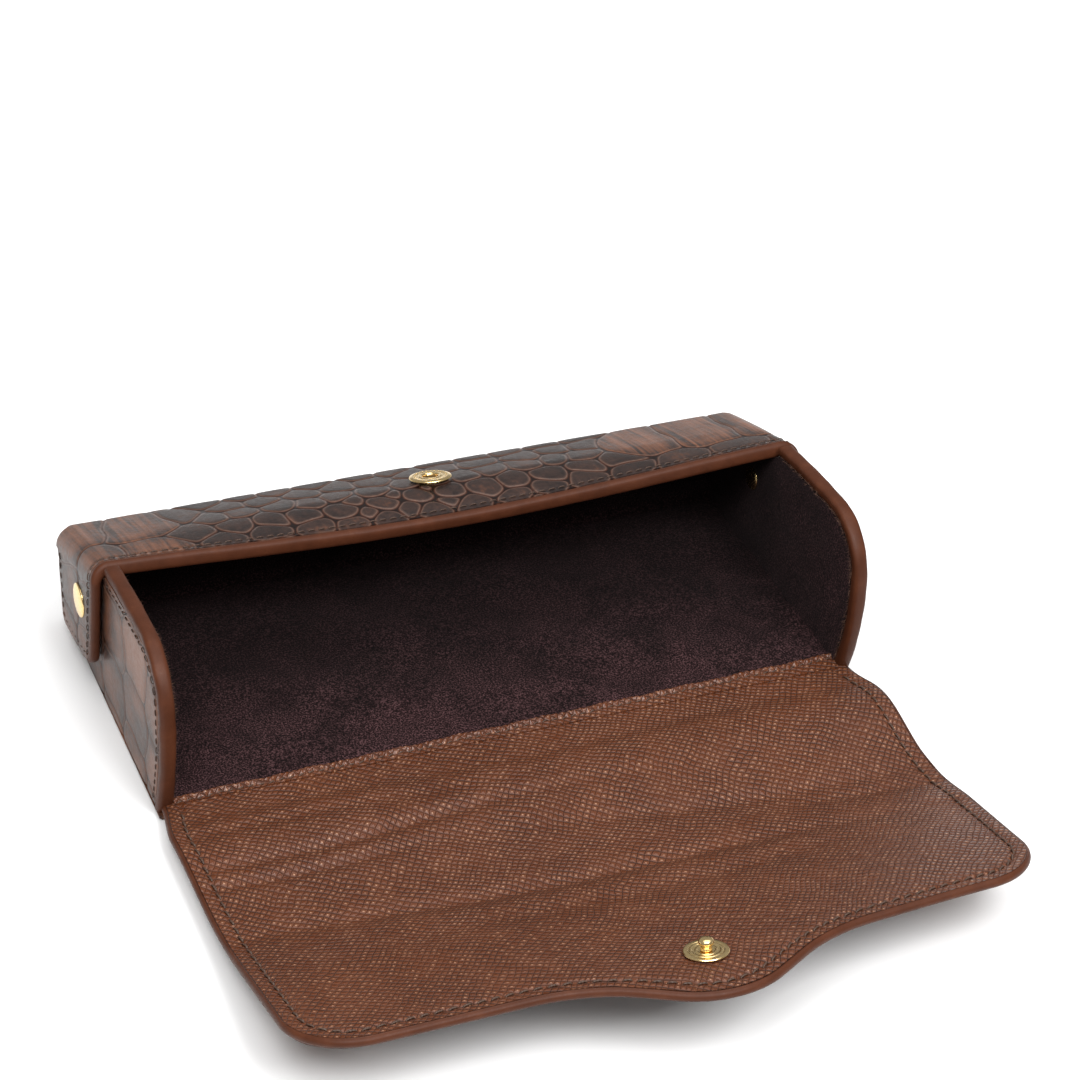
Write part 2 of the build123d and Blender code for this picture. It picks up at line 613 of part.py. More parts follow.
def strip_layer(index, low, high):
    """One layer of a strip, between two depths below the liner's surface, with slanted ends."""
    is_last = index == STRIP_COUNT - 1
    slant = tan(radians(STRIP_RELIEF_ANGLE))
    uncut_end = 2 * TONGUE_TIP
    near_low = STRIP_GAP / 2 + low * slant
    near_high = STRIP_GAP / 2 + high * slant
    far_low = uncut_end if is_last else STRIP_LENGTHS[index] - near_low
    far_high = uncut_end if is_last else STRIP_LENGTHS[index] - near_high
    with BuildPart() as layer:
        with BuildSketch(strip_section_plane(index)):
            with BuildLine():
                Polyline((near_low, low), (far_low, low), (far_high, high), (near_high, high), close=True)
            make_face()
        extrude(amount=FLAP_HALF_WIDTH, both=True)
        if is_last:
            with BuildSketch(strip_face_plane(index)):
                with BuildLine():
                    tongue_outline()
                make_face()
                mirror(about=Plane.YZ)
            extrude(amount=FLAP_THICKNESS, mode=Mode.INTERSECT)
    return layer.part


def drill_for_stud(layer, radius):
    """The layer with a hole for the stud."""
    with BuildPart() as drilled:
        add(layer)
        with BuildSketch(strip_face_plane(STRIP_COUNT - 1)):
            with Locations((0, STUD_ALONG)):
                Circle(radius)
        extrude(amount=FLAP_THICKNESS, mode=Mode.SUBTRACT)
    return drilled.part


for index in range(STRIP_COUNT):
    number = index + 1
    liner = strip_layer(index, 0, FLAP_LINER)
    board = strip_layer(index, FLAP_LINER, FLAP_LINER + FLAP_BOARD)
    cover = strip_layer(index, FLAP_LINER + FLAP_BOARD, FLAP_THICKNESS)
    if number == STRIP_COUNT:
        liner = drill_for_stud(liner, STUD_SHANK_RADIUS + FIT)
        board = drill_for_stud(board, STUD_BACKING_RADIUS + FIT)
    save(liner, f"flap_liner_{number}")
    save(board, f"flap_board_{number}")
    save(cover, f"flap_cover_{number}")

# ---- The stud on the flap: ball-headed post, ringed base and a washer inside the flap ------------------
last_angle = radians(OPEN_ANGLES[-1])
last_y, last_z = OPEN_JOINTS[STRIP_COUNT - 1]
stud_origin = (0, last_y - STUD_ALONG * cos(last_angle), last_z + STUD_ALONG * sin(last_angle))
stud_axis = Axis(stud_origin, (0, sin(last_angle), cos(last_angle)))
stud_section = Plane(origin=stud_origin, x_dir=(1, 0, 0), z_dir=(0, -cos(last_angle), sin(last_angle)))
head_low = STUD_HEIGHT - STUD_HEAD_LENGTH

with BuildPart() as snap_stud:
    with BuildSketch(stud_section):
        with BuildLine():
            shank_end = FLAP_LINER + FLAP_BOARD
            Polyline(
                (0, STUD_HEIGHT),
                (0, -shank_end),
                (STUD_SHANK_RADIUS, -shank_end),
                (STUD_SHANK_RADIUS, STUD_BASE_RISE),
                (STUD_NECK_RADIUS, STUD_BASE_RISE),
                (STUD_NECK_RADIUS, head_low),
                (STUD_HEAD_RADIUS, head_low + STUD_HEAD_TAPER),
                (STUD_HEAD_RADIUS, STUD_HEIGHT - STUD_DOME_RISE),
            )
            RadiusArc(
                (STUD_HEAD_RADIUS, STUD_HEIGHT - STUD_DOME_RISE),
                (0, STUD_HEIGHT),
                -dome_radius(STUD_HEAD_RADIUS, STUD_DOME_RISE),
            )
        make_face()
    revolve(axis=stud_axis)
save(snap_stud.part, "snap_stud")

with BuildPart() as stud_base:
    with BuildSketch(stud_section):
        with Locations((STUD_SHANK_RADIUS + FIT / 2, 0)):
            base_width = STUD_BASE_RADIUS - STUD_SHANK_RADIUS - FIT / 2
            Rectangle(base_width, STUD_BASE_RISE, align=(Align.MIN, Align.MIN))
        for ring_radius in STUD_RING_RADII:
            with Locations((ring_radius, STUD_BASE_RISE)):
                Rectangle(STUD_RING_WIDTH, STUD_RING_RISE, align=(Align.MIN, Align.MIN))
    revolve(axis=stud_axis)
save(stud_base.part, "stud_base")

with BuildPart() as stud_washer:
    with BuildSketch(strip_face_plane(STRIP_COUNT - 1).offset(FLAP_LINER)):
        with Locations((0, STUD_ALONG)):
            Circle(STUD_BACKING_RADIUS)
            Circle(STUD_SHANK_RADIUS + FIT, mode=Mode.SUBTRACT)
    extrude(amount=FLAP_BOARD - FIT)
save(stud_washer.part, "stud_washer")
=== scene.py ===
"""Looks of the eyeglasses case: leathers, suede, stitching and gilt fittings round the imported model."""
import json
import math

import bpy
import numpy as np
from mathutils import Matrix, Vector


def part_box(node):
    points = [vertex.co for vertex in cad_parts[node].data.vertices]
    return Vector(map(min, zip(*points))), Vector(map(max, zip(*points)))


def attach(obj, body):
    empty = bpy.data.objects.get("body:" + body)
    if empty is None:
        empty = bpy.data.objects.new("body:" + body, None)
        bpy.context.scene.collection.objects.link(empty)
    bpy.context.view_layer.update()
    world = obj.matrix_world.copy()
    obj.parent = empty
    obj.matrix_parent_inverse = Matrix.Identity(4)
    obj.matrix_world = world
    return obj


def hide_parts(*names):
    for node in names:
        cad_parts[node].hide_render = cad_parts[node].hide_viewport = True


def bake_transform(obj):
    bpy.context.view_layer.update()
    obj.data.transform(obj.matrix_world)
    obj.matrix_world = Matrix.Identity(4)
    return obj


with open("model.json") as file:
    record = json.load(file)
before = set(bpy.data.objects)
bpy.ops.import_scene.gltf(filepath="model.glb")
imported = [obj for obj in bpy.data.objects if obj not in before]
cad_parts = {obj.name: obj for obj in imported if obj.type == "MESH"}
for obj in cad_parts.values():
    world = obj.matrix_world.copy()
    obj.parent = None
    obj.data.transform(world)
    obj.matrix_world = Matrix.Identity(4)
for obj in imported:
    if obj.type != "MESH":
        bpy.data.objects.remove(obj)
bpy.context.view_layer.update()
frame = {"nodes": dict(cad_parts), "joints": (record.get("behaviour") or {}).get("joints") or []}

MM = 0.001
rng = np.random.default_rng(7)


# ---- Sizes in millimetres: the case's section, as the CAD model has it ---------------------------------
def box_mm(node):
    """A node's lowest and highest corners, in millimetres."""
    low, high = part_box(node)
    return np.array(low) / MM, np.array(high) / MM


HALF_LENGTH = box_mm("end_cover_right")[1][0]
BACK_Y = box_mm("outer_wrap")[1][1]
CASE_FRONT_Y = box_mm("bottom_board")[0][1]
EAR_OUTER_X = box_mm("outer_wrap")[1][0]
INNER_X = box_mm("body_lining")[1][0]
LIP = np.array([41.0, 38.3])
TOP_SLOPE = math.atan2(38.3 - 26.5, BACK_Y - 41.0)
TOP_ALONG = np.array([math.cos(TOP_SLOPE), -math.sin(TOP_SLOPE)])
TOP_NORMAL = np.array([math.sin(TOP_SLOPE), math.cos(TOP_SLOPE)])
TOP_LENGTH = (BACK_Y - LIP[0]) / TOP_ALONG[0]
LEATHER = 1.1
PANEL = 3.3
CORNER_RADIUS = 4.0
FOLD_RADIUS = 4.5
FOLD_X = EAR_OUTER_X - FOLD_RADIUS
BINDING_DEPTH = 2.6
LIP_BINDING_DEPTH = 2.2
LIP_BINDING_HEIGHT = 3.2
EAR_THICKNESS = 2.0
EAR_FRONT_LOW = np.array([43.6, 8.9])
EAR_BACK_LOW = np.array([65.6, 6.0])
EAR_BACK_HIGH_Y = 72.6
EAR_CORNER_RADIUS = 3.6
STEP_Y = 39.1
EAR_LINING = 0.9
END_COVER = 1.0
SUEDE_DEPTH = 0.7
BOARD_DEPTH = 1.5
EAR_RUN = 25.0             # fold to the ear's lower edge, near enough for the pattern
LIP_SAG = 4.7              # how far the lip hangs down in the middle of the length
SAG_REACH = 17.0           # how far behind the lip the top starts to hang
SAG_LENGTH = 172.0
LIP_SEAM = 3.5             # stitch row behind the lip
SLANT = 0.08               # stitches lie slightly across their row

FRONT_ARCS = (  # centre (y, z), radius, first and last angle in degrees: front, shoulder, crown
    (np.array([56.6, 20.0]), 60.0, 198.36, 171.37),
    (np.array([11.615, 26.827]), 14.5, 171.37, 87.2),
    (np.array([-0.329, -217.38]), 259.0, 87.2, 81.25),
)

# ---- Sizes in millimetres: the flap ------------------------------------------------------------------
FLAP_JOINTS = [np.array(j["pos_m"][1:]) / MM for j in frame["joints"]]
TAB_ANGLE = math.radians(17.5)
FLAP_HALF_WIDTH = box_mm("flap_liner_2")[1][0]
FLAP_THICKNESS = 2.7
STUD_ALONG = 19.1
FRONT_EDGE = 21.1
TONGUE_TIP = 33.8
TONGUE_RADIUS = 22.0
TONGUE_FLANK = math.radians(30)
TONGUE_HOLLOW = 40.0
FLAP_CORNER = 15.0
EDGE_THICKNESS = 2.0       # the leather is pared thinner towards the flap's edge
EDGE_ROUND = 1.0
CORNER_IN = 3.6            # the flap's right front corner is drawn in towards the middle
CORNER_BACK = 3.6          # and back towards the case
SEAM_INSET = 3.9
HINGE_TAPER = 0.024        # the flap is this much narrower where it leaves the case

SOCKET_FROM_LIP = 18.8
RIVET_CENTRE = np.array([50.0, 22.5])


def on_top(along, height):
    """The (y, z) of a point `along` the top from its lip and `height` over its face."""
    return LIP + along * TOP_ALONG + height * TOP_NORMAL


def lip_sag(x, along):
    """How far the top hangs down at x, `along` millimetres behind the lip."""
    across = np.cos(np.clip(np.asarray(x, float) / SAG_LENGTH, -0.5, 0.5) * math.pi) ** 1.4
    back = np.clip(1 - np.asarray(along, float) / SAG_REACH, 0, None) ** 1.5
    return LIP_SAG * across * back


# ---- Mesh helpers ------------------------------------------------------------------------------------
def smoothstep(low, high, values):
    """0 below low, 1 above high, smooth between."""
    t = np.clip((values - low) / (high - low), 0, 1)
    return t * t * (3 - 2 * t)


def make_piece(name, points, faces, material, attributes=None, sharp=None):
    """A mesh object from points in millimetres."""
    mesh = bpy.data.meshes.new(name)
    mesh.from_pydata((np.asarray(points, float) * MM).tolist(), [], faces)
    mesh.validate()
    for key, values in (attributes or {}).items():
        layer = mesh.attributes.new(key, "FLOAT", "POINT")
        layer.data.foreach_set("value", np.asarray(values, np.float32))
    mesh.polygons.foreach_set("use_smooth", [True] * len(mesh.polygons))
    mesh.materials.append(material)
    piece = bpy.data.objects.new(name, mesh)
    bpy.context.scene.collection.objects.link(piece)
    if sharp is not None:
        mesh.set_sharp_from_angle(angle=math.radians(sharp))
    return piece


def grain_map(piece, flat):
    """A UV map for the liner's grain: each vertex's place on the flat sheet, in millimetres."""
    layer = piece.data.uv_layers.new(name="grain")
    corners = np.empty(len(piece.data.loops), int)
    piece.data.loops.foreach_get("vertex_index", corners)
    layer.data.foreach_set("uv", (flat[corners] * MM).ravel().astype(np.float32))


def distances(line):
    """How far each point lies along the line."""
    return np.concatenate([[0], np.cumsum(np.linalg.norm(np.diff(line, axis=0), axis=1))])


def resample(line, count):
    """The line cut into `count` evenly spaced points."""
    travelled = distances(line)
    even = np.linspace(0, travelled[-1], count)
    return np.stack([np.interp(even, travelled, line[:, k]) for k in range(line.shape[1])], 1)


def in_plane(x, yz):
    """Points (x, y, z) from one x, or one for each point, and their (y, z)."""
    return np.stack([np.broadcast_to(x, yz.shape[:-1]), yz[..., 0], yz[..., 1]], -1)


def grid_faces(rows, columns, start=0, flip=False):
    """Quads over a grid of rows x columns points, numbered row by row."""
    faces = []
    for row in range(rows - 1):
        for column in range(columns - 1):
            a = start + row * columns + column
            quad = (a, a + 1, a + columns + 1, a + columns)
            faces.append(quad[::-1] if flip else quad)
    return faces


def hole_faces(rows, columns, left_out):
    """Faces of a two-sided skin with the cells marked in left_out missing, and the hole's walls."""
    count = rows * columns
    upper, lower, walls = [], [], []
    for row, column in np.argwhere(~left_out):
        a = row * columns + column
        quad = [int(k) for k in (a, a + 1, a + columns + 1, a + columns)]
        upper.append(tuple(quad))
        lower.append(tuple(k + count for k in quad[::-1]))
        beside = ((row - 1, column), (row, column + 1), (row + 1, column), (row, column - 1))
        for (near_row, near_column), here, there in zip(beside, quad, quad[1:] + quad[:1]):
            inside = 0 <= near_row < rows - 1 and 0 <= near_column < columns - 1
            if inside and left_out[near_row, near_column]:
                walls.append((there, here, here + count, there + count))
    return upper + lower + walls


def shell(name, outer, inner, material, attributes=None, left_out=None):
    """A closed skin between two grids of points, rows x columns x 3; left_out marks a hole's cells."""
    rows, columns = outer.shape[:2]
    count = rows * columns
    points = np.concatenate([outer.reshape(-1, 3), inner.reshape(-1, 3)])
    if left_out is None:
        left_out = np.zeros((rows - 1, columns - 1), bool)
    faces = hole_faces(rows, columns, left_out)
    rim = list(range(columns))
    rim += [row * columns + columns - 1 for row in range(1, rows)]
    rim += [(rows - 1) * columns + column for column in range(columns - 2, -1, -1)]
    rim += [row * columns for row in range(rows - 2, 0, -1)]
    for here, there in zip(rim, rim[1:] + rim[:1]):
        faces.append((there, here, here + count, there + count))
    doubled = {key: np.tile(values.ravel(), 2) for key, values in (attributes or {}).items()}
    return make_piece(name, points, faces, material, doubled, sharp=50)


def tube_faces(rings, count):
    """Faces of a closed tube made of `rings` rings with `count` points each."""
    faces = []
    for ring in range(rings - 1):
        here, there = ring * count, (ring + 1) * count
        for side in range(count):
            turn = (side + 1) % count
            faces.append((here + side, here + turn, there + turn, there + side))
    faces.append(tuple(range(count))[::-1])
    faces.append(tuple((rings - 1) * count + side for side in range(count)))
    return faces


def sweep(name, path, across, up, sections, material):
    """A tube: at each path point, its section's two values along that point's two directions."""
    points = path[:, None] + sections[..., :1] * across[:, None] + sections[..., 1:] * up[:, None]
    faces = tube_faces(len(path), sections.shape[1])
    return make_piece(name, points.reshape(-1, 3), faces, material, sharp=60)


def lathe(name, profile, centre, axis, material, segments=72):
    """A turned piece: profile of (radius, height) along the axis through centre."""
    axis = np.asarray(axis, float) / np.linalg.norm(axis)
    helper = np.array([1.0, 0, 0]) if abs(axis[0]) < 0.9 else np.array([0, 1.0, 0])
    first = np.cross(axis, helper)
    first /= np.linalg.norm(first)
    second = np.cross(axis, first)
    angles = np.linspace(0, 2 * math.pi, segments, endpoint=False)
    ring = np.cos(angles)[:, None] * first + np.sin(angles)[:, None] * second
    points = [np.asarray(centre) + radius * ring + height * axis for radius, height in profile]
    faces = tube_faces(len(profile), segments)
    return make_piece(name, np.concatenate(points), faces, material, sharp=40)


def rounded_profile(corners, radius, steps=5):
    """A profile of (radius, height) corners with its inner corners rounded by short arcs."""
    points = [np.array(corners[0], float)]
    for before, corner, after in zip(corners, corners[1:], corners[2:]):
        before, corner, after = (np.array(p, float) for p in (before, corner, after))
        inward, outward = before - corner, after - corner
        reach = min(radius, 0.45 * np.linalg.norm(inward), 0.45 * np.linalg.norm(outward))
        start = corner + inward / np.linalg.norm(inward) * reach
        end = corner + outward / np.linalg.norm(outward) * reach
        for t in np.linspace(0, 1, steps):
            points.append((1 - t) ** 2 * start + 2 * t * (1 - t) * corner + t * t * end)
    points.append(np.array(corners[-1], float))
    return points


# ---- Embossed scales: an uneven net of cells, as a height and masks over a flat hide --------------------
CORNER_SOFTNESS = 0.55      # how far a scale's corners are rounded off
FAR = 99                    # stands for a scale's distance to its own edge with itself: no edge there
WALL_HEIGHT = 0.20          # the embossing: steep wall beside a groove, then a swell to the middle
SWELL_HEIGHT = 0.12


def scale_seeds():
    """Cell centres over the hide: (u, v, weight, brownness); u along the case, v back from the lip."""
    seeds = []
    for index, v in enumerate(np.arange(-2.5, 150, 7.0)):
        spacing = 8.6 + 1.0 * math.sin(index * 1.7)
        for u in np.arange(-57 + (index % 2) * spacing / 2, 44, spacing):
            near_middle = math.exp(-(((u + 14) / 16) ** 2) - ((v - 8) / 8) ** 2)
            jitter = rng.uniform(-1, 1, 2) * (1.7, 1.3)
            seeds.append((u + jitter[0], v + jitter[1], -4 * near_middle, 0.10))
            if near_middle > 0.5:
                seeds.append((u + spacing / 2 + jitter[1], v + 2.6, -10, 0.08))
    for u in np.arange(53.5, 130, 15.5):
        for v in (21.0, 49.0, 77.0, 105.0, 133.0):
            seeds.append((u, v, 75, 0.62))
        for half in (-4.0, 4.0):
            seeds.append((u + half, -1.0 + 0.8 * half, 0, 0.14))
    for column, u in enumerate(np.arange(-69.5, -130, -14.0)):
        for v in (22.0, 48.0, 74.0, 100.0, 126.0):
            seeds.append((u, v + 3.0 * (column % 2), 60, 0.6))
        seeds.append((u, 3.0, 50, 0.45))
    return np.array(seeds)


def end_panel_seeds():
    """Cell centres of the end panels' large scales: (y, z, weight, brownness)."""
    seeds = []
    for column, y in enumerate((1.0, 17.0, 34.0, 51.0, 68.0)):
        for z in (-3.0, 10.0, 25.5, 41.0):
            shift = 4.5 * (column % 2)
            seeds.append((y + rng.uniform(-0.7, 0.7), z + shift, 0, rng.uniform(0.55, 0.75)))
    return np.array(seeds)


def flap_seeds():
    """Cell centres of the flap's outside: (u, s, weight, brownness)."""
    seeds = []
    for index, s in enumerate(np.arange(-6, 126, 8.2)):
        for u in np.arange(-56 + (index % 2) * 5.5, 58, 11.0):
            jitter = rng.uniform(-1, 1, 2) * (2.6, 1.8)
            seeds.append((u + jitter[0], s + jitter[1], 0, rng.uniform(0.05, 0.35)))
        if index % 2 == 0:
            for u in (-92, -78, -65, 66, 79, 93):
                seeds.append((u, s + 3, 10, rng.uniform(0.45, 0.85)))
    return np.array(seeds)


def scales(u, v, seeds, chunk=20000):
    """For points of the hide: distance to the nearest groove, brownness, and a random number per cell."""
    flat = np.stack([u.ravel(), v.ravel()], 1)
    flat = flat + 0.35 * np.sin(flat[:, ::-1] * 0.5 + 1.3)
    centres, weights = seeds[:, :2], seeds[:, 2]
    apart = np.linalg.norm(centres[:, None] - centres[None], axis=2) + 1e-6
    edge = np.empty(len(flat))
    owner = np.empty(len(flat), int)
    for start in range(0, len(flat), chunk):
        some = flat[start : start + chunk]
        power = ((some[:, None] - centres[None]) ** 2).sum(2) - weights[None]
        nearest = power.argmin(1)
        own = power[np.arange(len(some)), nearest]
        gaps = (power - own[:, None]) / (2 * apart[nearest])
        gaps[np.arange(len(some)), nearest] = FAR
        gaps = np.sort(np.partition(gaps, 2, axis=1)[:, :3], axis=1)
        rounded = -CORNER_SOFTNESS * np.log(np.exp(-gaps / CORNER_SOFTNESS).sum(1)) + 0.05
        edge[start : start + chunk] = np.maximum(rounded, 0)
        owner[start : start + chunk] = nearest
    chance = np.random.default_rng(3).uniform(0, 1, len(seeds))
    shape = u.shape
    return edge.reshape(shape), seeds[owner, 3].reshape(shape), chance[owner].reshape(shape)


def scale_height(edge):
    """How high the embossing stands over its grooves' floor, in millimetres."""
    wall = smoothstep(0.05, 0.75, edge)
    swell = 1 - np.exp(-edge / 2.2)
    return WALL_HEIGHT * (wall - 1) + SWELL_HEIGHT * (swell - 1)


# ---- Materials ---------------------------------------------------------------------------------------
def new_material(name, roughness, specular=0.5):
    """A material with a Principled shader."""
    material = bpy.data.materials.new(name)
    material.use_nodes = True
    tree = material.node_tree
    shader = tree.nodes["Principled BSDF"]
    shader.inputs["Roughness"].default_value = roughness
    shader.inputs["Specular IOR Level"].default_value = specular
    return material, tree, shader


def add_node(tree, kind, settings=None, **inputs):
    """A node, with its inputs set or linked by name."""
    node = tree.nodes.new(kind)
    for key, value in (settings or {}).items():
        setattr(node, key, value)
    for key, value in inputs.items():
        socket = node.inputs[int(key[1:])] if key[0] == "_" and key[1:].isdigit() else node.inputs[key]
        if isinstance(value, bpy.types.NodeSocket):
            tree.links.new(value, socket)
        else:
            socket.default_value = value
    return node


def math_node(tree, operation, first, second=0.5, clamp=False):
    """A Math node's result."""
    settings = {"operation": operation, "use_clamp": clamp}
    return add_node(tree, "ShaderNodeMath", settings, _0=first, _1=second).outputs[0]


def times(tree, first, second):
    """First times second."""
    return math_node(tree, "MULTIPLY", first, second)


def plus(tree, first, second, clamp=False):
    """First plus second, kept between 0 and 1 if clamped."""
    return math_node(tree, "ADD", first, second, clamp)


def minus(tree, first, second):
    """First minus second."""
    return math_node(tree, "SUBTRACT", first, second)


def vector_node(tree, operation, output="Vector", **inputs):
    """A Vector Math node's result."""
    return add_node(tree, "ShaderNodeVectorMath", {"operation": operation}, **inputs).outputs[output]


def ramp(tree, value, stops, smooth=False):
    """A colour ramp over value: stops are (position, colour)."""
    node = tree.nodes.new("ShaderNodeValToRGB")
    node.color_ramp.interpolation = "EASE" if smooth else "LINEAR"
    while len(node.color_ramp.elements) < len(stops):
        node.color_ramp.elements.new(0.5)
    for element, (position, colour) in zip(node.color_ramp.elements, stops):
        element.position = position
        element.color = (*colour, 1)
    tree.links.new(value, node.inputs["Fac"])
    return node.outputs["Color"]


def grey(level):
    """A grey of this level."""
    return (level, level, level)


def mix_colour(tree, factor, first, second, blend="MIX"):
    """Two colours mixed by a factor."""
    node = tree.nodes.new("ShaderNodeMix")
    node.data_type = "RGBA"
    node.blend_type = blend
    for socket, value in ((node.inputs[0], factor), (node.inputs[6], first), (node.inputs[7], second)):
        if isinstance(value, bpy.types.NodeSocket):
            tree.links.new(value, socket)
        elif isinstance(value, tuple):
            socket.default_value = (*value, 1)
        else:
            socket.default_value = value
    return node.outputs[2]


def position_mm(tree):
    """The surface point in millimetres, in the part's own frame."""
    place = tree.nodes.new("ShaderNodeTexCoord")
    return vector_node(tree, "SCALE", Vector=place.outputs["Object"], Scale=1 / MM)


def noise(tree, vector, scale, detail=3.0, roughness=0.55, distortion=0.0):
    """A noise value; scale is in cells per millimetre."""
    inputs = {"Scale": scale, "Detail": detail, "Roughness": roughness, "Distortion": distortion}
    return add_node(tree, "ShaderNodeTexNoise", None, Vector=vector, **inputs).outputs["Fac"]


def bump(tree, shader, height, strength, distance):
    """A bump of the given height signal, in millimetres of depth."""
    node = add_node(tree, "ShaderNodeBump", None, Height=height, Strength=strength, Distance=distance * MM)
    tree.links.new(node.outputs["Normal"], shader.inputs["Normal"])


def attribute(tree, name):
    """A per-vertex value of the mesh."""
    return add_node(tree, "ShaderNodeAttribute", {"attribute_name": name}).outputs["Fac"]


def croc_material():
    """Embossed leather: reddish grooves, rims lightened both as wear and as a painted highlight, and dark or
    brown scales.
    """
    material, tree, shader = new_material("croc_leather", 0.38, 0.24)
    place = position_mm(tree)
    edge = attribute(tree, "groove")
    brown = attribute(tree, "brown")
    chance = attribute(tree, "chance")
    cloud = noise(tree, place, 0.13, 4)
    mottle = noise(tree, place, 0.75, 6, 0.65)
    stretch = {"Scale": (1.30, 0.05, 0.05)}
    streak_place = add_node(tree, "ShaderNodeMapping", None, Vector=place, **stretch).outputs["Vector"]
    striped = times(tree, minus(tree, noise(tree, streak_place, 1.0, 3), 0.5), brown)
    from_rim = times(tree, edge, 0.2)
    inward = ramp(tree, from_rim, ((0.05, grey(0.55)), (0.75, grey(1.0))), smooth=True)
    tone = times(tree, times(tree, brown, 0.95), inward)
    for signal, middle, share in ((cloud, 0.45, 0.9), (mottle, 0.45, 0.75), (chance, 0.5, 0.12)):
        tone = plus(tree, tone, times(tree, minus(tree, signal, middle), share))
    tone = plus(tree, tone, times(tree, striped, 2.8), clamp=True)
    scale_colour = ramp(tree, tone, (
        (0.0, (0.0165, 0.0110, 0.0100)),
        (0.30, (0.036, 0.0200, 0.0160)),
        (0.60, (0.098, 0.0400, 0.0220)),
        (1.0, (0.175, 0.0720, 0.0390)),
    ))
    groove_colour = (0.078, 0.0250, 0.0120)
    deep_colour = (0.0075, 0.0026, 0.0018)
    # painted highlight, partly wear: a lighter band along each scale's rim beside its groove stands in for
    # light caught on the rims as well as rubbing
    rim_wear_and_highlight_colour = (0.27, 0.150, 0.105)
    rim = ramp(tree, times(tree, edge, 0.5), (
        (0.0, grey(0.0)), (0.14, grey(0.0)), (0.21, grey(0.60)), (0.28, grey(0.22)), (0.46, grey(0.0)),
    ))
    rim = math_node(tree, "MULTIPLY", rim, plus(tree, mottle, 0.1), clamp=True)
    colour = mix_colour(tree, rim, scale_colour, rim_wear_and_highlight_colour)
    groove = ramp(tree, edge, ((0.0, grey(1.0)), (0.20, grey(1.0)), (0.34, grey(0.0))))
    colour = mix_colour(tree, groove, colour, groove_colour)
    deep = ramp(tree, edge, ((0.0, grey(1.0)), (0.10, grey(0.9)), (0.26, grey(0.0))))
    colour = mix_colour(tree, deep, colour, deep_colour)
    tree.links.new(colour, shader.inputs["Base Color"])
    rough = ramp(tree, mottle, ((0.25, grey(0.27)), (0.75, grey(0.46))))
    tree.links.new(rough, shader.inputs["Roughness"])
    grain = noise(tree, place, 3.2, 4, 0.6)
    wrinkle = noise(tree, place, 0.9, 3, 0.5, 0.8)
    height = plus(tree, times(tree, grain, 0.5), times(tree, wrinkle, 0.9))
    height = plus(tree, height, times(tree, striped, 1.6))
    bump(tree, shader, height, 0.45, 0.14)
    return material


def grain_lines(tree, place, direction, pitch):
    """0 along the lines of one family, 1 half way between them; and a number for each row."""
    turn = math.radians(direction)
    normal = (-math.sin(turn) / pitch, math.cos(turn) / pitch, 0)
    across = vector_node(tree, "DOT_PRODUCT", "Value", _0=place, _1=normal)
    return times(tree, math_node(tree, "PINGPONG", across, 0.5), 2.0), math_node(tree, "FLOOR", across, 0.0)


def lizard_material():
    """The flap's liner: small glossy grains in rows that cross each other, with painted highlights on some
    grain tops.
    """
    material, tree, shader = new_material("lizard_leather", 0.34, 0.38)
    uv = tree.nodes.new("ShaderNodeUVMap")
    uv.uv_map = "grain"
    flat = vector_node(tree, "SCALE", Vector=uv.outputs["UV"], Scale=1 / MM)
    bent = flat
    for scale, reach in ((0.03, 8.0), (0.30, 0.95)):
        wander = {"Scale": scale, "Detail": 2.0}
        drift = add_node(tree, "ShaderNodeTexNoise", None, Vector=flat, **wander).outputs["Color"]
        drift = vector_node(tree, "SUBTRACT", _0=drift, _1=(0.5, 0.5, 0.5))
        drift = vector_node(tree, "SCALE", Vector=drift, Scale=reach)
        bent = vector_node(tree, "ADD", _0=bent, _1=drift)
    first, first_row = grain_lines(tree, bent, 32, 1.42)
    second, second_row = grain_lines(tree, bent, -53, 1.20)
    cell = math_node(tree, "MINIMUM", first, plus(tree, second, 0.10))
    row_pair = add_node(tree, "ShaderNodeCombineXYZ", None, X=first_row, Y=second_row).outputs["Vector"]
    plane = {"noise_dimensions": "2D"}
    chance = add_node(tree, "ShaderNodeTexWhiteNoise", plane, Vector=row_pair).outputs["Value"]
    place = position_mm(tree)
    cloud = noise(tree, place, 0.05, 4, 0.6)
    mottle = noise(tree, flat, 0.6, 4, 0.6)
    base = ramp(tree, cloud, ((0.3, (0.084, 0.0225, 0.0072)), (0.7, (0.115, 0.0335, 0.0118))))
    base = mix_colour(tree, times(tree, mottle, 0.30), base, (0.058, 0.0160, 0.0060))
    base = mix_colour(tree, times(tree, chance, 0.25), base, (0.160, 0.0640, 0.0310))
    valley = ramp(tree, cell, ((0.0, grey(1.0)), (0.14, grey(0.85)), (0.36, grey(0.0))))
    faint = ramp(tree, noise(tree, flat, 0.11, 3, 0.6), ((0.35, grey(0.22)), (0.62, grey(0.85))), smooth=True)
    colour = mix_colour(tree, times(tree, valley, faint), base, (0.026, 0.0064, 0.0022))
    # painted highlight: light dots on the tops of some grains stand in for glints
    painted_glint = ramp(tree, cell, ((0.0, grey(0.0)), (0.72, grey(0.0)), (0.90, grey(1.0))))
    painted_glint = times(tree, painted_glint, ramp(tree, chance, ((0.45, grey(0.0)), (1.0, grey(0.9)))))
    colour = mix_colour(tree, painted_glint, colour, (0.390, 0.215, 0.130))
    tree.links.new(colour, shader.inputs["Base Color"])
    dome = ramp(tree, cell, ((0.0, grey(0.0)), (0.35, grey(0.62)), (1.0, grey(1.0))), smooth=True)
    height = plus(tree, dome, times(tree, mottle, 0.35))
    height = plus(tree, height, times(tree, chance, 0.3))
    bump(tree, shader, height, 1.0, 0.30)
    rough = ramp(tree, mottle, ((0.3, grey(0.24)), (0.7, grey(0.42))))
    rough = plus(tree, rough, times(tree, valley, 0.4))
    tree.links.new(rough, shader.inputs["Roughness"])
    return material


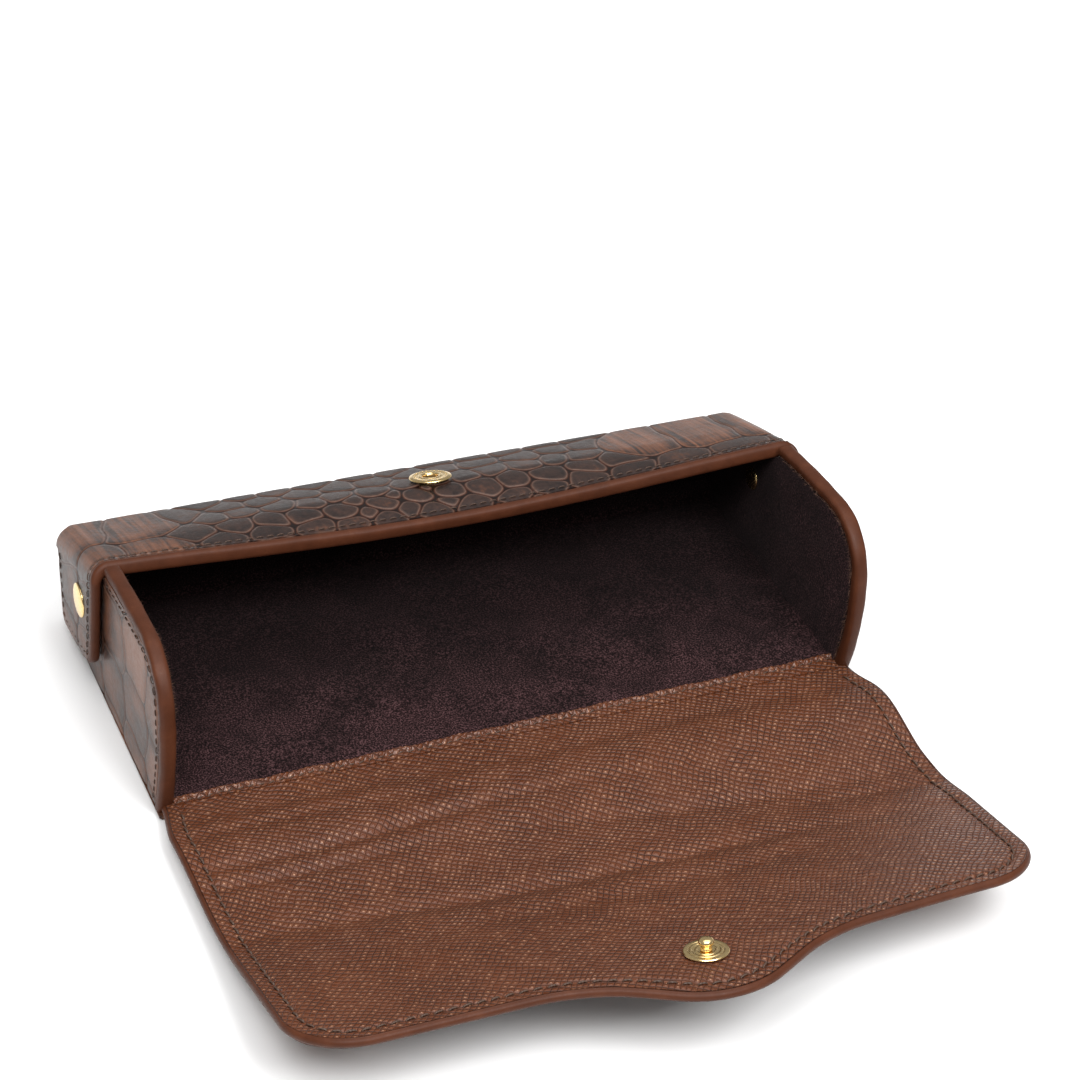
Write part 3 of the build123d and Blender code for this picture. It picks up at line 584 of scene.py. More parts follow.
def smooth_leather_material():
    """Turned edges: smooth reddish-brown leather with a fine grain and rubbed places."""
    material, tree, shader = new_material("smooth_leather", 0.42, 0.15)
    place = position_mm(tree)
    cloud = noise(tree, place, 0.22, 5, 0.6)
    fine = noise(tree, place, 2.6, 5, 0.65)
    colour = ramp(tree, cloud, (
        (0.25, (0.050, 0.0145, 0.0058)),
        (0.55, (0.070, 0.0210, 0.0088)),
        (0.80, (0.094, 0.0305, 0.0135)),
    ))
    colour = mix_colour(tree, times(tree, fine, 0.30), colour, (0.040, 0.0112, 0.0050))
    tree.links.new(colour, shader.inputs["Base Color"])
    rough = ramp(tree, fine, ((0.3, grey(0.38)), (0.7, grey(0.58))))
    tree.links.new(rough, shader.inputs["Roughness"])
    net = {"feature": "DISTANCE_TO_EDGE"}
    pores = add_node(tree, "ShaderNodeTexVoronoi", net, Vector=place, Scale=3.4).outputs["Distance"]
    height = plus(tree, times(tree, fine, 0.8), times(tree, pores, 0.6))
    bump(tree, shader, height, 0.3, 0.08)
    return material


PAINTED_SHADE_REACH = 50.0        # painted shade: the suede is drawn lighter in front and darker behind, from this far in front to this far behind


def suede_material():
    """Dark suede: a short nap with brushed patches, a soft sheen, and painted shade darkening it towards the
    back.
    """
    material, tree, shader = new_material("suede", 0.95, 0.08)
    place = position_mm(tree)
    nap = noise(tree, place, 2.5, 2, 0.7)
    brushed = noise(tree, place, 0.07, 4, 0.65, 0.6)
    speck = noise(tree, place, 9.0, 2, 0.5)
    colour = ramp(tree, nap, (
        (0.36, (0.0022, 0.0007, 0.0009)),
        (0.50, (0.0150, 0.0060, 0.0066)),
        (0.64, (0.084, 0.0410, 0.0430)),
    ))
    patches = ramp(tree, brushed, ((0.32, grey(0.45)), (0.62, grey(1.15))))
    colour = mix_colour(tree, 1.0, colour, patches, "MULTIPLY")
    # painted shade: the suede's colour is brightened at the front and darkened towards the back of the case,
    # where the top shades it
    depth = add_node(tree, "ShaderNodeSeparateXYZ", None, Vector=place).outputs["Y"]
    depth = plus(tree, depth, PAINTED_SHADE_REACH)
    depth = math_node(tree, "DIVIDE", depth, 2 * PAINTED_SHADE_REACH, clamp=True)
    painted_back_shade = ramp(tree, depth, ((0.0, grey(1.15)), (0.45, grey(0.95)), (1.0, grey(0.30))), smooth=True)
    colour = mix_colour(tree, 1.0, colour, painted_back_shade, "MULTIPLY")
    lint = ramp(tree, speck, ((0.0, grey(0.0)), (0.76, grey(0.0)), (0.80, grey(1.0))))
    colour = mix_colour(tree, times(tree, lint, 0.25), colour, (0.11, 0.08, 0.08))
    tree.links.new(colour, shader.inputs["Base Color"])
    shader.inputs["Sheen Weight"].default_value = 0.07
    shader.inputs["Sheen Roughness"].default_value = 0.45
    shader.inputs["Sheen Tint"].default_value = (0.55, 0.42, 0.44, 1)
    height = plus(tree, nap, times(tree, speck, 0.5))
    bump(tree, shader, height, 0.8, 0.22)
    return material


def fibre_material():
    """Loose suede fibres: paler than the nap."""
    material, tree, shader = new_material("fibre", 0.9, 0.1)
    tint = noise(tree, position_mm(tree), 0.8, 3)
    colour = ramp(tree, tint, ((0.3, (0.060, 0.0280, 0.0200)), (0.7, (0.190, 0.1100, 0.0800))))
    tree.links.new(colour, shader.inputs["Base Color"])
    return material


def gold_material():
    """Pale gilt brass with light scuffs."""
    material, tree, shader = new_material("gold_metal", 0.2)
    shader.inputs["Metallic"].default_value = 1.0
    place = position_mm(tree)
    scuff = noise(tree, place, 1.6, 6, 0.7)
    colour = ramp(tree, scuff, ((0.3, (0.72, 0.50, 0.20)), (0.7, (0.88, 0.68, 0.36))))
    tree.links.new(colour, shader.inputs["Base Color"])
    rough = ramp(tree, scuff, ((0.3, grey(0.15)), (0.75, grey(0.33))))
    tree.links.new(rough, shader.inputs["Roughness"])
    bump(tree, shader, scuff, 0.2, 0.03)
    return material


def thread_material():
    """Waxed thread, twisted from two plies."""
    material, tree, shader = new_material("thread", 0.6)
    place = position_mm(tree)
    fuzz = noise(tree, place, 5.0, 3, 0.6)
    colour = ramp(tree, fuzz, ((0.3, (0.026, 0.0110, 0.0060)), (0.7, (0.085, 0.0430, 0.0250))))
    tree.links.new(colour, shader.inputs["Base Color"])
    bands = {"bands_direction": "DIAGONAL"}
    twist = add_node(tree, "ShaderNodeTexWave", bands, Vector=place, Scale=1.1, Distortion=1.0).outputs["Fac"]
    bump(tree, shader, twist, 0.6, 0.08)
    return material


def board_material():
    """Greyboard and stiffener, hidden inside."""
    material, tree, shader = new_material("greyboard", 0.9, 0.2)
    fibre = noise(tree, position_mm(tree), 1.4, 6, 0.7)
    colour = ramp(tree, fibre, ((0.3, (0.20, 0.18, 0.15)), (0.7, (0.34, 0.31, 0.27))))
    tree.links.new(colour, shader.inputs["Base Color"])
    bump(tree, shader, fibre, 0.4, 0.1)
    return material


CROC = croc_material()
LIZARD = lizard_material()
SMOOTH = smooth_leather_material()
SUEDE = suede_material()
FIBRE = fibre_material()
GOLD = gold_material()
THREAD = thread_material()
BOARD = board_material()


def dress(piece, body, slot, *nodes):
    """A finished piece rides on its body and stands for its CAD nodes; slot is not used."""
    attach(piece, body)
    if nodes:
        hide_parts(*nodes)


# ---- Stitches ----------------------------------------------------------------------------------------
STITCH_RINGS = 7
STITCH_SIDES = 6
STITCH_DIVE = 0.30          # how far a stitch's ends go down into their holes


def stitch_meshes(path, normals, pitch=2.4, length=1.9, radius=0.17, rise=0.06, slant=0.0):
    """Points and faces of a row of stitches along a path, lying on the surface with these normals."""
    travelled = distances(path)
    count = max(1, int(travelled[-1] / pitch))
    gap = travelled[-1] / count
    t = np.linspace(-1, 1, STITCH_RINGS)
    angles = np.linspace(0, 2 * math.pi, STITCH_SIDES, endpoint=False)
    faces = tube_faces(STITCH_RINGS, STITCH_SIDES)
    stitches = []
    for index in range(count):
        at = (index + 0.5) * gap + t / 2 * length
        centre = np.stack([np.interp(at, travelled, path[:, k]) for k in range(3)], 1)
        up = np.stack([np.interp(at, travelled, normals[:, k]) for k in range(3)], 1)
        up /= np.linalg.norm(up, axis=1)[:, None]
        along = np.gradient(centre, axis=0)
        along /= np.linalg.norm(along, axis=1)[:, None] + 1e-9
        across = np.cross(up, along)
        lift = rise * (1 - t**2) * 1.4 - STITCH_DIVE * t**6
        centre = centre + up * lift[:, None] + across * (slant * t)[:, None]
        thick = radius * (1 - 0.25 * t**4)
        sideways = across[:, None] * np.cos(angles)[None, :, None]
        upwards = up[:, None] * np.sin(angles)[None, :, None] * 0.8
        points = centre[:, None] + (sideways + upwards) * thick[:, None, None]
        stitches.append((points.reshape(-1, 3), faces, centre[STITCH_RINGS // 2]))
    return stitches


def join_stitches(name, stitches, body=None):
    """One piece from many stitches, riding on its body if one is given."""
    points, faces, start = [], [], 0
    for stitch_points, stitch_faces, _ in stitches:
        points.append(stitch_points)
        faces += [tuple(start + k for k in face) for face in stitch_faces]
        start += len(stitch_points)
    piece = make_piece(name, np.concatenate(points), faces, THREAD)
    if body is not None:
        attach(piece, body)
    return piece


# ---- Top leather: the top panel, folded down into an ear at each end -----------------------------------
EAR_TOP_END = (EAR_BACK_HIGH_Y - LIP[0]) / TOP_ALONG[0] - FOLD_RADIUS * math.tan(TOP_SLOPE)
HIDE_SEEDS = scale_seeds()


def ear_point(forward, down):
    """A point of the ear: forward 0..1 from its front to its back edge, down 0..1 from the fold."""
    top = on_top(LIP_BINDING_DEPTH, -FOLD_RADIUS)[None] * (1 - forward)[:, None]
    top = top + on_top(EAR_TOP_END, -FOLD_RADIUS)[None] * forward[:, None]
    bottom = EAR_FRONT_LOW[None] * (1 - forward)[:, None] + EAR_BACK_LOW[None] * forward[:, None]
    run = np.linalg.norm(EAR_BACK_LOW - EAR_FRONT_LOW)
    from_edge = np.minimum(forward, 1 - forward) * run
    inside = np.clip(EAR_CORNER_RADIUS - from_edge, 0, EAR_CORNER_RADIUS)
    cut = EAR_CORNER_RADIUS - np.sqrt(EAR_CORNER_RADIUS**2 - inside**2)
    length = np.linalg.norm(bottom - top, axis=1)
    reach = down * (1 - cut / length)
    return top + (bottom - top) * reach[:, None]


def fold_points(u, along, depth):
    """Points of the top leather at hide distance u from the middle, along the top, and depth under it."""
    turn = np.clip((np.abs(u) - FOLD_X) / FOLD_RADIUS, 0, math.pi / 2)
    side = np.sign(u)
    x = side * (np.minimum(np.abs(u), FOLD_X) + (FOLD_RADIUS - depth) * np.sin(turn))
    height = -FOLD_RADIUS + (FOLD_RADIUS - depth) * np.cos(turn)
    yz = LIP[None] + along[:, None] * TOP_ALONG[None] + height[:, None] * TOP_NORMAL[None]
    return np.stack([x, yz[:, 0], yz[:, 1]], 1)


SOCKET_HOLE = 2.9           # radius of the leather's hole round the socket's tube
SEAM_DENT = 0.16            # the leather is pulled in along the lip's stitches
PILLOW = 0.21               # the top's leather stands up a little in the middle of its depth
EAR_BULGE = 0.275
EAR_TUCK = 0.35             # the ear's edges turn in


def build_top_leather():
    """The top panel with both folds and ears, as one skin."""
    fold_run = FOLD_RADIUS * math.pi / 2
    flat = np.linspace(-FOLD_X, FOLD_X, 560)
    fold = np.linspace(0, fold_run, 22)[1:]
    ear = np.linspace(0, 1, 62)[1:]
    ear_end = FOLD_X + fold_run + EAR_RUN
    beyond = np.concatenate([FOLD_X + fold, FOLD_X + fold_run + EAR_RUN * ear])
    u = np.concatenate([-beyond[::-1], flat, beyond])
    crowded = 0.5 - 0.5 * np.cos(np.linspace(0, math.pi, 12))[:6]
    crowded *= 0.075 / crowded[-1]
    forward = np.concatenate([crowded, np.linspace(0.085, 0.915, 104), 1 - crowded[::-1]])
    rows, columns = len(forward), len(u)
    along = LIP_BINDING_DEPTH + forward * (EAR_TOP_END - LIP_BINDING_DEPTH)
    uu, vv = np.meshgrid(u, along)
    edge, brown, chance = scales(uu, vv, HIDE_SEEDS)
    rim = smoothstep(0.0, 1.6, vv - along[0]) * smoothstep(0.0, 1.2, ear_end - np.abs(uu))
    relief = scale_height(edge) * rim - SEAM_DENT * np.exp(-(((vv - LIP_SEAM) / 0.45) ** 2))
    pillow = PILLOW * np.sin(np.clip((along - along[0]) / (along[-1] - along[0]), 0, 1) * math.pi)
    border = smoothstep(0, 1.0, 1.0 - np.maximum(np.abs(2 * forward - 1) - 0.92, 0) / 0.08)
    outer = np.empty((rows, columns, 3))
    inner = np.empty((rows, columns, 3))
    for column in range(columns):
        in_ear = (abs(u[column]) - FOLD_X - fold_run) / EAR_RUN
        if in_ear > 0:
            yz = ear_point(forward, np.full(rows, in_ear))
            side = np.sign(u[column])
            bulge = EAR_BULGE * math.sin(in_ear * math.pi * 0.8) * np.sin(forward * math.pi)
            tuck = (1 - border) * EAR_TUCK + (EAR_TUCK if in_ear > 0.985 else 0)
            outer[:, column] = in_plane(side * (EAR_OUTER_X + relief[:, column] + bulge - tuck), yz)
            inner[:, column] = in_plane(side * (EAR_OUTER_X - LEATHER), yz)
        else:
            flat_share = 1 - np.clip((abs(u[column]) - FOLD_X) / fold_run, 0, 1)
            lift = relief[:, column] + pillow * flat_share
            outer[:, column] = fold_points(np.full(rows, u[column]), along, -lift)
            inner[:, column] = fold_points(np.full(rows, u[column]), along, LEATHER)
            sag = lip_sag(outer[:, column, 0], along)
            outer[:, column, 2] -= sag
            inner[:, column, 2] -= sag
    masks = {"groove": edge, "brown": brown, "chance": chance}
    from_socket = np.hypot(uu, vv - SOCKET_FROM_LIP)[:-1, :-1]
    piece = shell("top_leather", outer, inner, CROC, masks, left_out=from_socket < SOCKET_HOLE)
    dress(piece, "case", "croc_leather", "outer_wrap")


def wrap_path(distance):
    """(y, z) and outward normal of the outer leather, going from the top's back end down and under."""
    corner_reach = CORNER_RADIUS * math.tan((math.pi / 2 - TOP_SLOPE) / 2)
    start = EAR_TOP_END
    flat_top = max(TOP_LENGTH - corner_reach - start, 0)
    first_turn = math.pi / 2 - TOP_SLOPE
    back_top = under_top(BACK_Y) - corner_reach
    pieces = [flat_top, CORNER_RADIUS * first_turn, back_top - CORNER_RADIUS, CORNER_RADIUS * math.pi / 2,
              BACK_Y - CORNER_RADIUS - CASE_FRONT_Y]
    points, normals = [], []
    for value in distance:
        if value <= pieces[0]:
            points.append(on_top(start + value, 0))
            normals.append(TOP_NORMAL)
            continue
        value -= pieces[0]
        if value <= pieces[1]:
            turn = value / CORNER_RADIUS + TOP_SLOPE
            centre = np.array([BACK_Y - CORNER_RADIUS, back_top])
            normal = np.array([math.sin(turn), math.cos(turn)])
            points.append(centre + CORNER_RADIUS * normal)
            normals.append(normal)
            continue
        value -= pieces[1]
        if value <= pieces[2]:
            points.append(np.array([BACK_Y, back_top - value]))
            normals.append(np.array([1.0, 0.0]))
            continue
        value -= pieces[2]
        if value <= pieces[3]:
            turn = value / CORNER_RADIUS
            normal = np.array([math.cos(turn), -math.sin(turn)])
            points.append(np.array([BACK_Y - CORNER_RADIUS, CORNER_RADIUS]) + CORNER_RADIUS * normal)
            normals.append(normal)
            continue
        value -= pieces[3]
        points.append(np.array([BACK_Y - CORNER_RADIUS - value, 0.0]))
        normals.append(np.array([0.0, -1.0]))
    return np.array(points), np.array(normals), sum(pieces)


def under_top(y):
    """Height of the top leather's underside at this y."""
    return LIP[1] - (y - LIP[0]) * math.tan(TOP_SLOPE)


def build_back_leather():
    """The back, both of its corners and the floor."""
    total = wrap_path([0.0])[2]
    distance = np.concatenate([np.linspace(0, 40, 130), np.linspace(40, total, 120)[1:]])
    yz, normals, _ = wrap_path(distance)
    x = np.concatenate([np.linspace(-HALF_LENGTH, -FOLD_X, 8), np.linspace(-FOLD_X, FOLD_X, 420)[1:-1],
                        np.linspace(FOLD_X, HALF_LENGTH, 8)])
    uu, vv = np.meshgrid(x, EAR_TOP_END + distance)
    edge, brown, chance = scales(uu, vv, HIDE_SEEDS)
    relief = scale_height(edge)
    on_floor = smoothstep(50, 56, distance)[:, None]
    grooves = (WALL_HEIGHT + SWELL_HEIGHT) * (1 - smoothstep(0.0, 0.6, edge))
    relief = np.minimum(relief * (1 - on_floor) - grooves * on_floor, 0)
    outside = np.clip((np.abs(uu) - FOLD_X) / (HALF_LENGTH - FOLD_X), 0, 1)
    relief = relief - (1 - np.sqrt(1 - 0.98 * outside**2))
    outer = in_plane(uu, yz[:, None] + relief[..., None] * normals[:, None])
    inner = in_plane(uu, yz[:, None] - np.full(uu.shape, LEATHER)[..., None] * normals[:, None])
    masks = {"groove": edge[:, ::-1], "brown": brown[:, ::-1], "chance": chance[:, ::-1]}
    dress(shell("back_leather", outer[:, ::-1], inner[:, ::-1], CROC, masks), "case", "croc_leather")


# ---- Bindings ----------------------------------------------------------------------------------------
def front_curve(inset, steps=(40, 44, 34), last_y=STEP_Y):
    """Points (y, z) and outward normals along the front curve, from the floor to the lip."""
    points, normals = [], []
    for (centre, radius, first, last), count in zip(FRONT_ARCS, steps):
        for angle in np.radians(np.linspace(first, last, count)):
            normal = np.array([math.cos(angle), math.sin(angle)])
            points.append(centre + (radius - inset) * normal)
            normals.append(normal)
    points, normals = np.array(points), np.array(normals)
    keep = np.concatenate([[True], np.linalg.norm(np.diff(points, axis=0), axis=1) > 1e-4])
    keep &= points[:, 0] <= last_y + 0.01
    return points[keep], normals[keep]


def superellipse(width, height, power, count=28):
    """A rounded-rectangle section about the origin."""
    angles = np.linspace(0, 2 * math.pi, count, endpoint=False)
    c, s = np.cos(angles), np.sin(angles)
    return np.stack([width / 2 * np.sign(c) * np.abs(c) ** (2 / power),
                     height / 2 * np.sign(s) * np.abs(s) ** (2 / power)], 1)


def build_end_bindings():
    """A padded, turned edge round the curve of each end panel."""
    for side, hand in ((-1, "left"), (1, "right")):
        yz, normals = front_curve(0)
        thickness = HALF_LENGTH - INNER_X
        middle_x = side * (INNER_X + thickness / 2)
        outward = in_plane(0.0, normals)
        path = in_plane(middle_x, yz) - outward * BINDING_DEPTH / 2
        sideways = np.tile([float(side), 0, 0], (len(path), 1))
        section = superellipse(BINDING_DEPTH + 0.15, thickness + 0.25, 3.0)
        travelled = distances(path)
        swell = 1 + 0.03 * np.sin(travelled * 0.35) + 0.02 * np.sin(travelled * 0.93 + side)
        sections = section[None] * np.stack([np.ones_like(swell), swell], 1)[:, None, :]
        piece = sweep(f"end_edge_{hand}", path, outward, sideways, sections, SMOOTH)
        dress(piece, "case", "smooth_leather", f"end_binding_{hand}")


def build_lip_binding():
    """The turned edge of the lip, round both folds and down the front of both ears."""
    depth_middle = LIP_BINDING_DEPTH / 2
    back = on_top(LIP_BINDING_DEPTH, -FOLD_RADIUS)
    lean = (EAR_FRONT_LOW - back) / np.linalg.norm(EAR_FRONT_LOW - back)
    ear_run = np.linalg.norm(EAR_FRONT_LOW - back) - 1.2
    path, across, up, heights = [], [], [], []

    def add(point, across_direction, up_direction, height):
        path.append(point)
        across.append(across_direction)
        up.append(up_direction)
        heights.append(height)

    forward = np.array([0, TOP_ALONG[0], TOP_ALONG[1]])
    for side in (-1, 1):
        ear, fold = [], []
        ear_forward = np.array([0, -lean[1], lean[0]]) * (1 if -lean[1] > 0 else -1)
        for step in np.linspace(0, 1, 30)[::-1]:
            yz = back + lean * ear_run * step
            share = smoothstep(0.0, 0.25, np.array([step]))[0]
            direction = (1 - share) * forward + share * ear_forward
            direction /= np.linalg.norm(direction)
            front = np.array([side * (EAR_OUTER_X), yz[0], yz[1]]) - direction * depth_middle
            curl = 3.2 * max(step - 0.86, 0) ** 2 / 0.14
            front = front + direction * curl * 4
            ear.append((front, direction, np.array([float(side), 0, 0]), EAR_THICKNESS))
        for turn in np.linspace(math.pi / 2, 0, 16)[1:]:
            yz = on_top(depth_middle, -FOLD_RADIUS + FOLD_RADIUS * math.cos(turn))
            x = side * (FOLD_X + FOLD_RADIUS * math.sin(turn))
            normal = np.array([side * math.sin(turn), *TOP_NORMAL * math.cos(turn)])
            share = turn / (math.pi / 2)
            height = LIP_BINDING_HEIGHT + (EAR_THICKNESS - LIP_BINDING_HEIGHT) * share
            fold.append((np.array([x, yz[0], yz[1]]), forward, normal, height))
        run = ear + fold
        if side < 0:
            for item in run:
                add(*item)
            for x in np.linspace(-FOLD_X, FOLD_X, 160)[1:-1]:
                yz = on_top(depth_middle, 0)
                add(np.array([x, yz[0], yz[1]]), forward, np.array([0, *TOP_NORMAL]), LIP_BINDING_HEIGHT)
        else:
            for item in run[::-1]:
                add(*item)
    path, across, up = np.array(path), np.array(across), np.array(up)
    heights = np.array(heights)
    tilt = (lip_sag(path[:, 0], 0) - lip_sag(path[:, 0], 2 * depth_middle)) / (2 * depth_middle)
    path[:, 2] -= lip_sag(path[:, 0], depth_middle)
    across = across + np.stack([0 * tilt, 0 * tilt, tilt], 1)
    across /= np.linalg.norm(across, axis=1)[:, None]
    up = up - (up * across).sum(1)[:, None] * across
    up /= np.linalg.norm(up, axis=1)[:, None]
    path = path - up * (heights / 2)[:, None]
    unit = superellipse(1.0, 1.0, 2.7, 30)
    x = path[:, 0]
    wave = 1 + 0.03 * np.sin(x * 0.21) + 0.02 * np.sin(x * 0.57 + 1)
    sections = np.stack([unit[None, :, 0] * (LIP_BINDING_DEPTH + 0.35) * wave[:, None],
                         unit[None, :, 1] * (heights[:, None] + 0.25)], 2)
    piece = sweep("lip_edge", path, across, up, sections, SMOOTH)
    dress(piece, "case", "smooth_leather", "lip_binding")


# ---- End panels --------------------------------------------------------------------------------------
def end_panel_grid(inset, columns=220, rows=150):
    """Points (y, z) over an end panel, spread between its front curve and its straight sides."""
    front, _ = front_curve(inset)
    curve = resample(front, columns)
    back = BACK_Y - LEATHER - 0.1
    ceiling = PANEL / math.cos(TOP_SLOPE) + 0.1
    corners = np.array([front[0], (back, LEATHER), (back, under_top(back) - ceiling),
                        (STEP_Y, under_top(STEP_Y) - ceiling), front[-1]])
    straight = resample(corners, columns)
    across = np.linspace(0, 1, rows)[:, None, None]
    return curve[None] * (1 - across) + straight[None] * across


def panel_skin(name, side, yz, outer_x, inner_x, material, attributes=None):
    """One layer of an end panel between two distances from the middle."""
    outer = in_plane(side * outer_x, yz)
    inner = in_plane(side * inner_x, yz)
    masks = attributes or {}
    if side < 0:
        outer, inner = outer[:, ::-1], inner[:, ::-1]
        masks = {key: values[:, ::-1] for key, values in masks.items()}
    return shell(name, outer, inner, material, masks)


def build_end_covers():
    """The embossed leather outside and the suede inside of each end panel."""
    yz = end_panel_grid(BINDING_DEPTH - 0.1)
    edge, brown, chance = scales(yz[..., 0], yz[..., 1], end_panel_seeds())
    relief = scale_height(edge)
    from_curve = np.linspace(0, 1, relief.shape[0])[:, None]
    relief = relief - 0.5 * (1 - smoothstep(0, 0.03, from_curve)) * np.ones_like(relief)
    masks = {"groove": edge, "brown": brown, "chance": chance}
    lining_yz = end_panel_grid(BINDING_DEPTH - 0.1, 120, 60)
    swell = 0.18 * np.sin(lining_yz[..., 0] * 0.21) * np.sin(lining_yz[..., 1] * 0.33 + 1)
    cover_x = HALF_LENGTH + relief, HALF_LENGTH - END_COVER
    lining_x = INNER_X + SUEDE_DEPTH, INNER_X + swell - 0.05
    for side, hand in ((-1, "left"), (1, "right")):
        cover = panel_skin(f"end_leather_{hand}", side, yz, *cover_x, CROC, masks)
        dress(cover, "case", "croc_leather", f"end_cover_{hand}")
        lining = panel_skin(f"end_suede_{hand}", side, lining_yz, *lining_x, SUEDE)
        dress(lining, "case", "suede", f"end_lining_{hand}")


# ---- Linings and the top's board -----------------------------------------------------------------------
def rounded_line(corners, radius, step=0.6):
    """Evenly spaced (y, z) points along a line with rounded corners."""
    points = [np.array(corners[0], float)]
    for before, corner, after in zip(corners, corners[1:], corners[2:]):
        before, corner, after = (np.array(p, float) for p in (before, corner, after))
        inward = (before - corner) / np.linalg.norm(before - corner)
        outward = (after - corner) / np.linalg.norm(after - corner)
        half = math.acos(float(np.clip(inward @ outward, -1, 1))) / 2
        reach = radius / math.tan(half)
        centre = corner + (inward + outward) / np.linalg.norm(inward + outward) * radius / math.sin(half)
        start, end = corner + inward * reach - centre, corner + outward * reach - centre
        for t in np.linspace(0, 1, 9):
            spot = start * (1 - t) + end * t
            points.append(centre + spot / np.linalg.norm(spot) * radius)
    points.append(np.array(corners[-1], float))
    points = np.array(points)
    return resample(points, int(distances(points)[-1] / step))


def lining_line(depth, radius):
    """Floor, back and top at a depth under the outer face, from the floor's front to the lip."""
    back = BACK_Y - depth
    back_top = under_top(back) - depth / math.cos(TOP_SLOPE)
    lip = on_top(LIP_BINDING_DEPTH - 0.4, -depth)
    return rounded_line([(CASE_FRONT_Y, depth), (back, depth), (back, back_top), lip], radius)


def hang(points):
    """Lower the points of the top with the sagging lip."""
    along = (points[..., 1] - LIP[0]) * TOP_ALONG[0] + (points[..., 2] - LIP[1]) * TOP_ALONG[1]
    in_top = points[..., 2] > 20
    points[..., 2] -= np.where(in_top, lip_sag(points[..., 0], np.maximum(along, 0)), 0)
    return points


def build_linings():
    """Suede over floor, back and top; the top's board; and the leather lining behind each ear."""
    face = lining_line(PANEL, 2.2)
    under = resample(lining_line(LEATHER + BOARD_DEPTH, 1.4), len(face))
    x = np.linspace(-INNER_X, INNER_X, 260)
    grids = []
    for line, lift in ((face, 1.0), (under, 0.0)):
        xx, yy = np.meshgrid(x, line[:, 0])
        zz = np.broadcast_to(line[:, 1][:, None], xx.shape).copy()
        swell = 0.16 * np.sin(xx * 0.11 + yy * 0.07) * np.sin(yy * 0.19 + 0.6)
        on_floor = (zz < PANEL + 0.3) * 1.0
        zz += lift * swell * on_floor
        grids.append(hang(np.stack([xx, yy, zz], 2)))
    lining = shell("body_suede", grids[0], grids[1], SUEDE)
    dress(lining, "case", "suede", "body_lining")

    along = np.linspace(LIP_BINDING_DEPTH, TOP_LENGTH - 4.1, 60)
    board_x = np.linspace(-FOLD_X, FOLD_X, 120)
    layers = []
    for depth in (LEATHER, LEATHER + BOARD_DEPTH):
        xx, aa = np.meshgrid(board_x, along)
        yz = LIP[None, None] + aa[..., None] * TOP_ALONG - depth * TOP_NORMAL
        layers.append(hang(in_plane(xx, yz)))
    board = shell("top_stiffener", layers[0], layers[1], BOARD)
    dress(board, "case", "greyboard", "top_board")

    forward = np.linspace(0.01, 0.99, 50)
    down = np.linspace(0.0, 0.985, 50)
    for side, hand in ((-1, "left"), (1, "right")):
        yz = np.stack([ear_point(forward, np.full(50, d)) for d in down], 1)
        outer = in_plane(side * (EAR_OUTER_X - LEATHER), yz)
        inner = in_plane(side * (EAR_OUTER_X - LEATHER - EAR_LINING), yz)
        lining = shell(f"ear_backing_{hand}", outer, inner, SMOOTH)
        dress(lining, "case", "smooth_leather", f"ear_lining_{hand}")


def build_fringe():
    """Loose suede fibres along the inner edge of each end panel's turned edge."""
    yz, normals = front_curve(BINDING_DEPTH - 0.1)
    for side, hand in ((-1, "left"), (1, "right")):
        points, faces = [], []
        for _ in range(1400):
            spot = rng.integers(3, len(yz) - 3)
            base = np.array([side * (INNER_X + rng.uniform(-0.05, 0.9)), *yz[spot]])
            outward = np.array([0, *normals[spot]])
            lean = outward * rng.uniform(0.3, 1.0) + np.array([-side * rng.uniform(0.0, 1.0), 0, 0])
            lean = lean + rng.uniform(-0.5, 0.5, 3)
            tip = base + lean / np.linalg.norm(lean) * rng.uniform(0.5, 1.7)
            width = rng.uniform(-1, 1, 3)
            width = width / np.linalg.norm(width) * 0.07
            start = len(points)
            points += [base - width, base + width, base + np.cross(width, lean), tip]
            for corners in ((0, 1, 3), (1, 2, 3), (2, 0, 3), (0, 2, 1)):
                faces.append(tuple(start + corner for corner in corners))
        fringe = make_piece(f"suede_fringe_{hand}", points, faces, FIBRE)
        dress(fringe, "case", "suede")


# ---- The flap ----------------------------------------------------------------------------------------
TAB_ALONG = np.array([-math.cos(TAB_ANGLE), math.sin(TAB_ANGLE)])
STRIP_ENDS = FLAP_JOINTS + [FLAP_JOINTS[-1] + 200 * TAB_ALONG]
STRIP_LENGTHS = [float(np.linalg.norm(b - a)) for a, b in zip(STRIP_ENDS, STRIP_ENDS[1:])]
STRIP_STARTS = np.concatenate([[0], np.cumsum(STRIP_LENGTHS)])[:8]
STRIP_ANGLES = [math.atan2(b[1] - a[1], a[0] - b[0]) for a, b in zip(STRIP_ENDS, STRIP_ENDS[1:])]
STRIP_MIDDLES = [start + length / 2 for start, length in zip(STRIP_STARTS[:7], STRIP_LENGTHS[:7])]
STRIP_MIDDLES.append(STRIP_STARTS[7] + 5.4)
FLAP_FRONT = STRIP_STARTS[7] + FRONT_EDGE
FLAP_TIP = STRIP_STARTS[7] + TONGUE_TIP
FLAP_START = -1.2           # the flap's skin starts this far behind the hinge's line
LINE_STEP = 0.25


